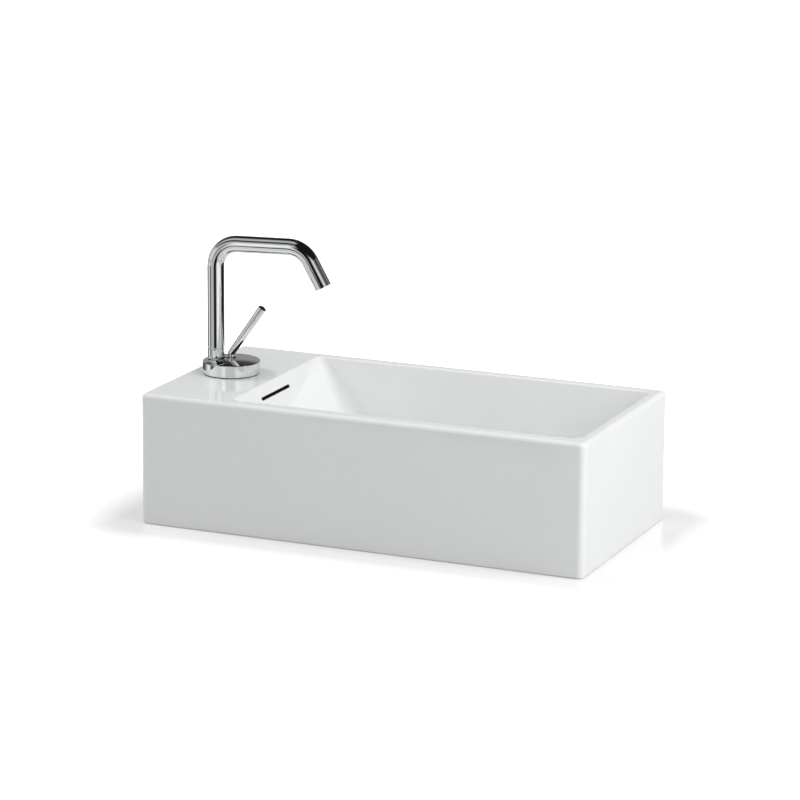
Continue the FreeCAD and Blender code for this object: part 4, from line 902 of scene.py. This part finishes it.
@dataclass(frozen=True)
class Studio:
    """White floor with a painted shade round the basin, the room round it, soft boxes, and boards
    for the chrome.
    """

    camera: PhotoCamera
    room: Room
    lights: tuple[SoftLight, ...]
    ring: CardRing
    boards: tuple[Board, ...]
    floor_size: float = 12.0
    floor_colour: Colour = (0.70, 0.70, 0.70)
    floor_roughness: float = 0.22
    # The floor's camera glow is weaker within these distances of the basin: a painted shade round
    # its foot.
    glow_in_painted_shade: float = 0.25
    painted_shade_inner: float = 0.03
    painted_shade_outer: float = 0.14

    def build(self, tap: Vector) -> None:
        """Builds the whole stage.

        Args:
            tap: Where the mixer stands, which the boards surround.
        """
        bpy.context.scene.view_settings.view_transform = "Standard"
        self.camera.build()
        self.room.build()
        self._build_floor()
        for light in self.lights:
            light.build(Vector((0.0, 0.0, 0.1)))
        self.ring.build(tap)
        for board in self.boards:
            board.build()

    def _build_floor(self) -> None:
        """A pale glossy floor that glows to full white away from the basin; near the basin its
        glow is weaker, a painted shade round the basin's foot.
        """
        bpy.ops.object.select_all(action="DESELECT")
        bpy.ops.mesh.primitive_plane_add(size=self.floor_size, location=(0.0, 0.0, 0.0))
        floor = bpy.context.object
        floor.name = "studio_floor"
        material = bpy.data.materials.new("white_floor")
        material.use_nodes = True
        graph = Graph(material.node_tree)
        shader = graph.add("BsdfPrincipled", {
            "Base Color": self.floor_colour, "Roughness": self.floor_roughness})
        path = graph.add("LightPath")
        place = graph.add("TexCoord")
        distance = self._distance_from_basin(graph, place.outputs["Object"])
        # Painted shade: the glow falls from full white far off to the weaker glow near the basin.
        glow = graph.remap(distance, self.painted_shade_inner, self.painted_shade_outer, self.glow_in_painted_shade, 1.0)
        seen = graph.math("MULTIPLY", path.outputs["Is Camera Ray"], glow)
        light = graph.add("Emission", {"Color": (1.0, 1.0, 1.0), "Strength": seen})
        both = graph.add("AddShader")
        graph.feed(both.inputs[0], shader.outputs[0])
        graph.feed(both.inputs[1], light.outputs[0])
        graph.add("OutputMaterial", {"Surface": both.outputs[0]})
        floor.data.materials.append(material)

    @staticmethod
    def _distance_from_basin(graph: Graph, place: Socket) -> Socket:
        """How far a floor point lies from the basin's footprint.

        Args:
            graph: The floor's graph.
            place: The floor's coordinates.

        Returns:
            The distance.
        """
        low, high = cad_bounds
        parts = graph.add("SeparateXYZ", {"Vector": place})
        gaps = []
        for axis, name in enumerate("XY"):
            inward = graph.math("SUBTRACT", graph.math("ABSOLUTE", parts.outputs[name]),
                                (high[axis] - low[axis]) / 2)
            gaps.append(graph.math("MAXIMUM", inward))
        square = graph.math("ADD", graph.math("MULTIPLY", gaps[0], gaps[0]),
                            graph.math("MULTIPLY", gaps[1], gaps[1]))
        return graph.math("SQRT", square)


# ----------------------------------------------------------------------------- sub-assemblies

@dataclass(frozen=True)
class Winding:
    """A closed section that is wound into a screw round an upright axis."""

    name: str
    low: float
    high: float
    sides: ClassVar[int] = 3
    steps: ClassVar[int] = 40
    smooth_angle: ClassVar[float] = 35.0

    def add_section(self) -> None:
        """Adds the section as a flat ring of edges, at the start of the winding."""
        raise NotImplementedError

    def turns_and_climb(self) -> tuple[float, float]:
        """How many turns the winding has, and how high they climb."""
        raise NotImplementedError

    def model(self, axis: Vector) -> bpy.types.Object:
        """Winds the section round the axis.

        Args:
            axis: A point on the axis.

        Returns:
            The winding, a closed mesh.
        """
        turns, climb = self.turns_and_climb()
        bpy.ops.object.select_all(action="DESELECT")
        self.add_section()
        piece = bpy.context.object
        piece.name = self.name
        bpy.ops.object.transform_apply(location=True, rotation=True, scale=True)
        winding = piece.modifiers.new("winding", "SCREW")
        winding.axis = "Z"
        winding.angle = turns * math.tau
        winding.screw_offset = climb
        winding.steps = winding.render_steps = round(turns * self.steps)
        bpy.ops.object.modifier_apply(modifier=winding.name)
        bpy.ops.object.mode_set(mode="EDIT")
        bpy.ops.mesh.select_all(action="SELECT")
        bpy.ops.mesh.fill_holes(sides=self.sides)
        bpy.ops.mesh.normals_make_consistent(inside=False)
        bpy.ops.object.mode_set(mode="OBJECT")
        bpy.ops.object.shade_smooth_by_angle(angle=math.radians(self.smooth_angle))
        piece.location = (axis.x, axis.y, 0.0)
        bpy.ops.object.transform_apply(location=True, rotation=True, scale=True)
        return piece


@dataclass(frozen=True)
class Thread(Winding):
    """A screw thread's triangular ridge."""

    root_radius: float
    depth: float
    pitch: float
    width_share: float = 0.47

    def add_section(self) -> None:
        """Adds the ridge's triangle."""
        bpy.ops.mesh.primitive_circle_add(
            vertices=self.sides, radius=self.depth, fill_type="NOTHING",
            location=(self.root_radius, 0.0, self.low + self.pitch / 2),
            rotation=(math.pi / 2, math.pi / 2, 0.0))
        half_width = self.depth * math.cos(math.radians(30.0))
        bpy.context.object.scale = (self.pitch * self.width_share / half_width, 1.0, 1.0)

    def turns_and_climb(self) -> tuple[float, float]:
        """The turns that fit between the thread's ends."""
        turns = (self.high - self.low) / self.pitch - 1.0
        return turns, turns * self.pitch


@dataclass(frozen=True)
class CoilSpring(Winding):
    """A spring of round wire that stands upright between two planes."""

    outer_radius: float
    wire: float
    turns: float
    sides: ClassVar[int] = 12
    steps: ClassVar[int] = 24
    smooth_angle: ClassVar[float] = 40.0

    def add_section(self) -> None:
        """Adds the wire's round section."""
        bpy.ops.mesh.primitive_circle_add(
            vertices=self.sides, radius=self.wire / 2, fill_type="NOTHING",
            location=(self.outer_radius - self.wire / 2, 0.0, self.low + self.wire / 2),
            rotation=(math.pi / 2, 0.0, 0.0))

    def turns_and_climb(self) -> tuple[float, float]:
        """The spring's turns, which climb from one plane to the other."""
        return self.turns, self.high - self.low - self.wire


@dataclass
class SubAssembly:
    """Pieces that belong together, and the axis that their finishes are centred on."""

    book: FinishBook
    axis: str
    nodes: dict[str, Slot]

    def dress(self) -> None:
        """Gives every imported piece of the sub-assembly its finish."""
        for name, slot in self.nodes.items():
            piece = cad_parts[name]
            piece.data.materials.clear()
            piece.data.materials.append(self.book.get(slot, self.axis))
            log.info("%s: %s", name, slot.value)

    def adopt(self, piece: bpy.types.Object, slot: Slot, body: str) -> None:
        """Finishes a new piece and lets it ride.

        Args:
            piece: The new mesh.
            slot: The material slot that its finish comes from.
            body: The body that carries it.
        """
        piece.data.materials.append(self.book.get(slot, self.axis))
        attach(piece, body)
        log.info("%s: %s, on %s", piece.name, slot.value, body)


@dataclass
class Basin(SubAssembly):
    """The ceramic body."""

    def build(self) -> None:
        """Dresses the ceramic."""
        self.dress()


@dataclass
class Mixer(SubAssembly):
    """The single-lever mixer and its fixing under the ledge."""

    centre: Vector
    thread_depth: float = 0.45 * MILLIMETRE
    thread_pitch: float = 1.5 * MILLIMETRE
    thread_end_gap: float = 1.0 * MILLIMETRE

    def build(self) -> None:
        """Dresses the mixer and cuts the thread of its shank."""
        self.dress()
        low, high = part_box("threaded_shank")
        _, seal_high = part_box("fixing_seal")
        thread = Thread("shank_thread", low.z + self.thread_end_gap, seal_high.z,
                        (high.x - low.x) / 2, self.thread_depth, self.thread_pitch)
        self.adopt(thread.model(self.centre), Slot.BRASS, "basin")


@dataclass
class Waste(SubAssembly):
    """The press waste and what clamps it in the drain hole."""

    centre: Vector
    thread_depth: float = 0.5 * MILLIMETRE
    thread_pitch: float = 2.309 * MILLIMETRE
    tail_thread: float = 16.0 * MILLIMETRE
    press: float = 8.0 * MILLIMETRE
    spring_wire: float = 0.8 * MILLIMETRE
    spring_turns: float = 5.0

    def build(self) -> None:
        """Dresses the waste, cuts its two threads and winds its spring."""
        self.dress()
        low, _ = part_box("waste_body")
        radius = self._tail_radius()
        nut_low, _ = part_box("back_nut")
        _, seal_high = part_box("lower_seal")
        spans = {"tail_thread": (low.z + MILLIMETRE, low.z + self.tail_thread),
                 "waste_thread": (nut_low.z - MILLIMETRE, seal_high.z)}
        for name, (start, end) in spans.items():
            thread = Thread(name, start, end, radius, self.thread_depth, self.thread_pitch)
            self.adopt(thread.model(self.centre), Slot.CHROME, "basin")
        self._wind_spring()

    def _wind_spring(self) -> None:
        """Winds the plug's spring in place of the imported one; the winding keeps one length,
        though the real spring shortens as the plug is pressed.
        """
        low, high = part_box("plug_spring")
        coil = CoilSpring("press_spring", low.z, high.z, (high.x - low.x) / 2,
                          self.spring_wire, self.spring_turns)
        spring = coil.model(self.centre)
        self.adopt(spring, Slot.STEEL, "basin")
        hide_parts("plug_spring")
        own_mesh(spring)

    def _tail_radius(self) -> float:
        """The radius of the tail, from the lowest points of the waste.

        Returns:
            The radius.
        """
        low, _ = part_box("waste_body")
        foot = [vertex.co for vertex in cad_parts["waste_body"].data.vertices
                if vertex.co.z < low.z + MILLIMETRE]
        return max((point.xy - self.centre.xy).length for point in foot)


def middle(node: str) -> Vector:
    """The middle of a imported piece's box."""
    low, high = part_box(node)
    return (low + high) / 2


def make_studio() -> Studio:
    """The photograph's studio.

    Returns:
        The studio.
    """
    lights = (
        SoftLight("right_low_box", azimuth=80.0, elevation=8.0, distance=2.2, width=1.8,
                  height=1.6, power=10.2),
        SoftLight("right_high_box", azimuth=80.0, elevation=42.0, distance=2.2, width=1.8,
                  height=1.6, power=24.5),
        SoftLight("left_key", azimuth=-88.0, elevation=34.0, distance=2.4, width=0.25,
                  height=0.25, power=13.5),
    )
    ring = CardRing((
        Card(-180.0, -104.0, Tone.DARK), Card(-80.0, -70.0, Tone.PALE),
        Card(-62.0, -54.0, Tone.DARK), Card(-40.0, -10.0, Tone.GREY),
        Card(-2.0, 24.0, Tone.BLACK), Card(44.0, 86.0, Tone.WHITE),
        Card(110.0, 135.0, Tone.BLACK), Card(160.0, 180.0, Tone.DARK)))
    boards = (Board("front_board", left=-0.085, right=0.27, away=0.58, low=0.135, high=0.34,
                    tone=Tone.BLACK),)
    room = Room(
        walls=(Card(-180.0, -150.0, Tone.DIM), Card(-115.0, -85.0, Tone.GREY),
               Card(-63.0, -58.0, Tone.PALE), Card(-27.0, -18.0, Tone.DIM),
               Card(-5.0, -3.0, Tone.WHITE), Card(4.0, 29.0, Tone.BLACK),
               Card(50.0, 52.0, Tone.PALE), Card(68.0, 125.0, Tone.GREY),
               Card(145.0, 155.0, Tone.DARK), Card(175.0, 180.0, Tone.DIM)),
        ceiling=(Card(0.0, 16.0, Tone.WHITE), Card(29.0, 33.0, Tone.GREY),
                 Card(51.0, 59.0, Tone.BLACK), Card(67.0, 84.0, Tone.GREY),
                 Card(105.0, 140.0, Tone.BLACK), Card(162.0, 180.0, Tone.DARK)),
        fill=0.575)
    return Studio(PhotoCamera(), room, lights, ring, boards)


def find_duct() -> OverflowDuct:
    """The overflow duct, from the basin's sizes.

    Returns:
        The duct.
    """
    _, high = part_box("basin_body")
    return OverflowDuct(rim_x=-150.7 * MILLIMETRE, rim_z=high.z,
                        floor_x=-106.7 * MILLIMETRE, floor_z=high.z - 76.0 * MILLIMETRE,
                        middle_y=high.y - 140.0 * MILLIMETRE,
                        half_width=38.0 * MILLIMETRE, lip=1.2 * MILLIMETRE,
                        depth=18.0 * MILLIMETRE)


MIXER_NODES = {
    "mixer_base": Slot.CHROME, "threaded_shank": Slot.BRASS, "base_seal": Slot.RUBBER,
    "fixing_seal": Slot.RUBBER, "fixing_washer": Slot.STEEL, "fixing_nut": Slot.BRASS,
    "ball_seal": Slot.RUBBER,
    "lever_ball": Slot.CHROME, "lever_rod": Slot.CHROME, "lever_cap": Slot.CAP,
    "lever_pivot": Slot.STEEL, "cartridge_housing": Slot.GREY_PLASTIC,
    "lever_carrier": Slot.WHITE_PLASTIC, "disc_slider": Slot.GREY_PLASTIC,
    "upper_disc": Slot.DISC, "lower_disc": Slot.DISC, "cartridge_base": Slot.GREY_PLASTIC,
    "port_seals": Slot.RUBBER, "inlet_block": Slot.BRASS, "ring_nut": Slot.BRASS,
    "spout_tube": Slot.CHROME, "glide_ring": Slot.WHITE_PLASTIC,
    "spout_seal_lower": Slot.RUBBER, "spout_seal_upper": Slot.RUBBER,
    "stop_screw": Slot.STEEL, "aerator_sleeve": Slot.CHROME, "aerator_seal": Slot.RUBBER,
    "jet_former": Slot.GREY_PLASTIC,
}

WASTE_NODES = {
    "waste_body": Slot.CHROME, "flange_seal": Slot.RUBBER, "lower_seal": Slot.RUBBER,
    "slip_washer": Slot.WHITE_PLASTIC, "back_nut": Slot.BRASS,
    "waste_spider": Slot.WHITE_PLASTIC, "plug_barrel": Slot.WHITE_PLASTIC,
    "plug_spring": Slot.STEEL, "plug_stem": Slot.STEEL, "plug_cap": Slot.CHROME,
    "plug_seal": Slot.RUBBER,
}


def main() -> None:
    """Builds the object and its studio, in order."""
    tap = middle("lever_ball")
    drain = middle("plug_cap")
    book = FinishBook(tap, drain, find_duct())
    Basin(book, "any", {"basin_body": Slot.GLAZE}).build()
    Mixer(book, "tap", MIXER_NODES, centre=middle("base_seal")).build()
    Waste(book, "drain", WASTE_NODES, centre=drain).build()
    make_studio().build(tap)


if __name__ == "__main__":
    main()
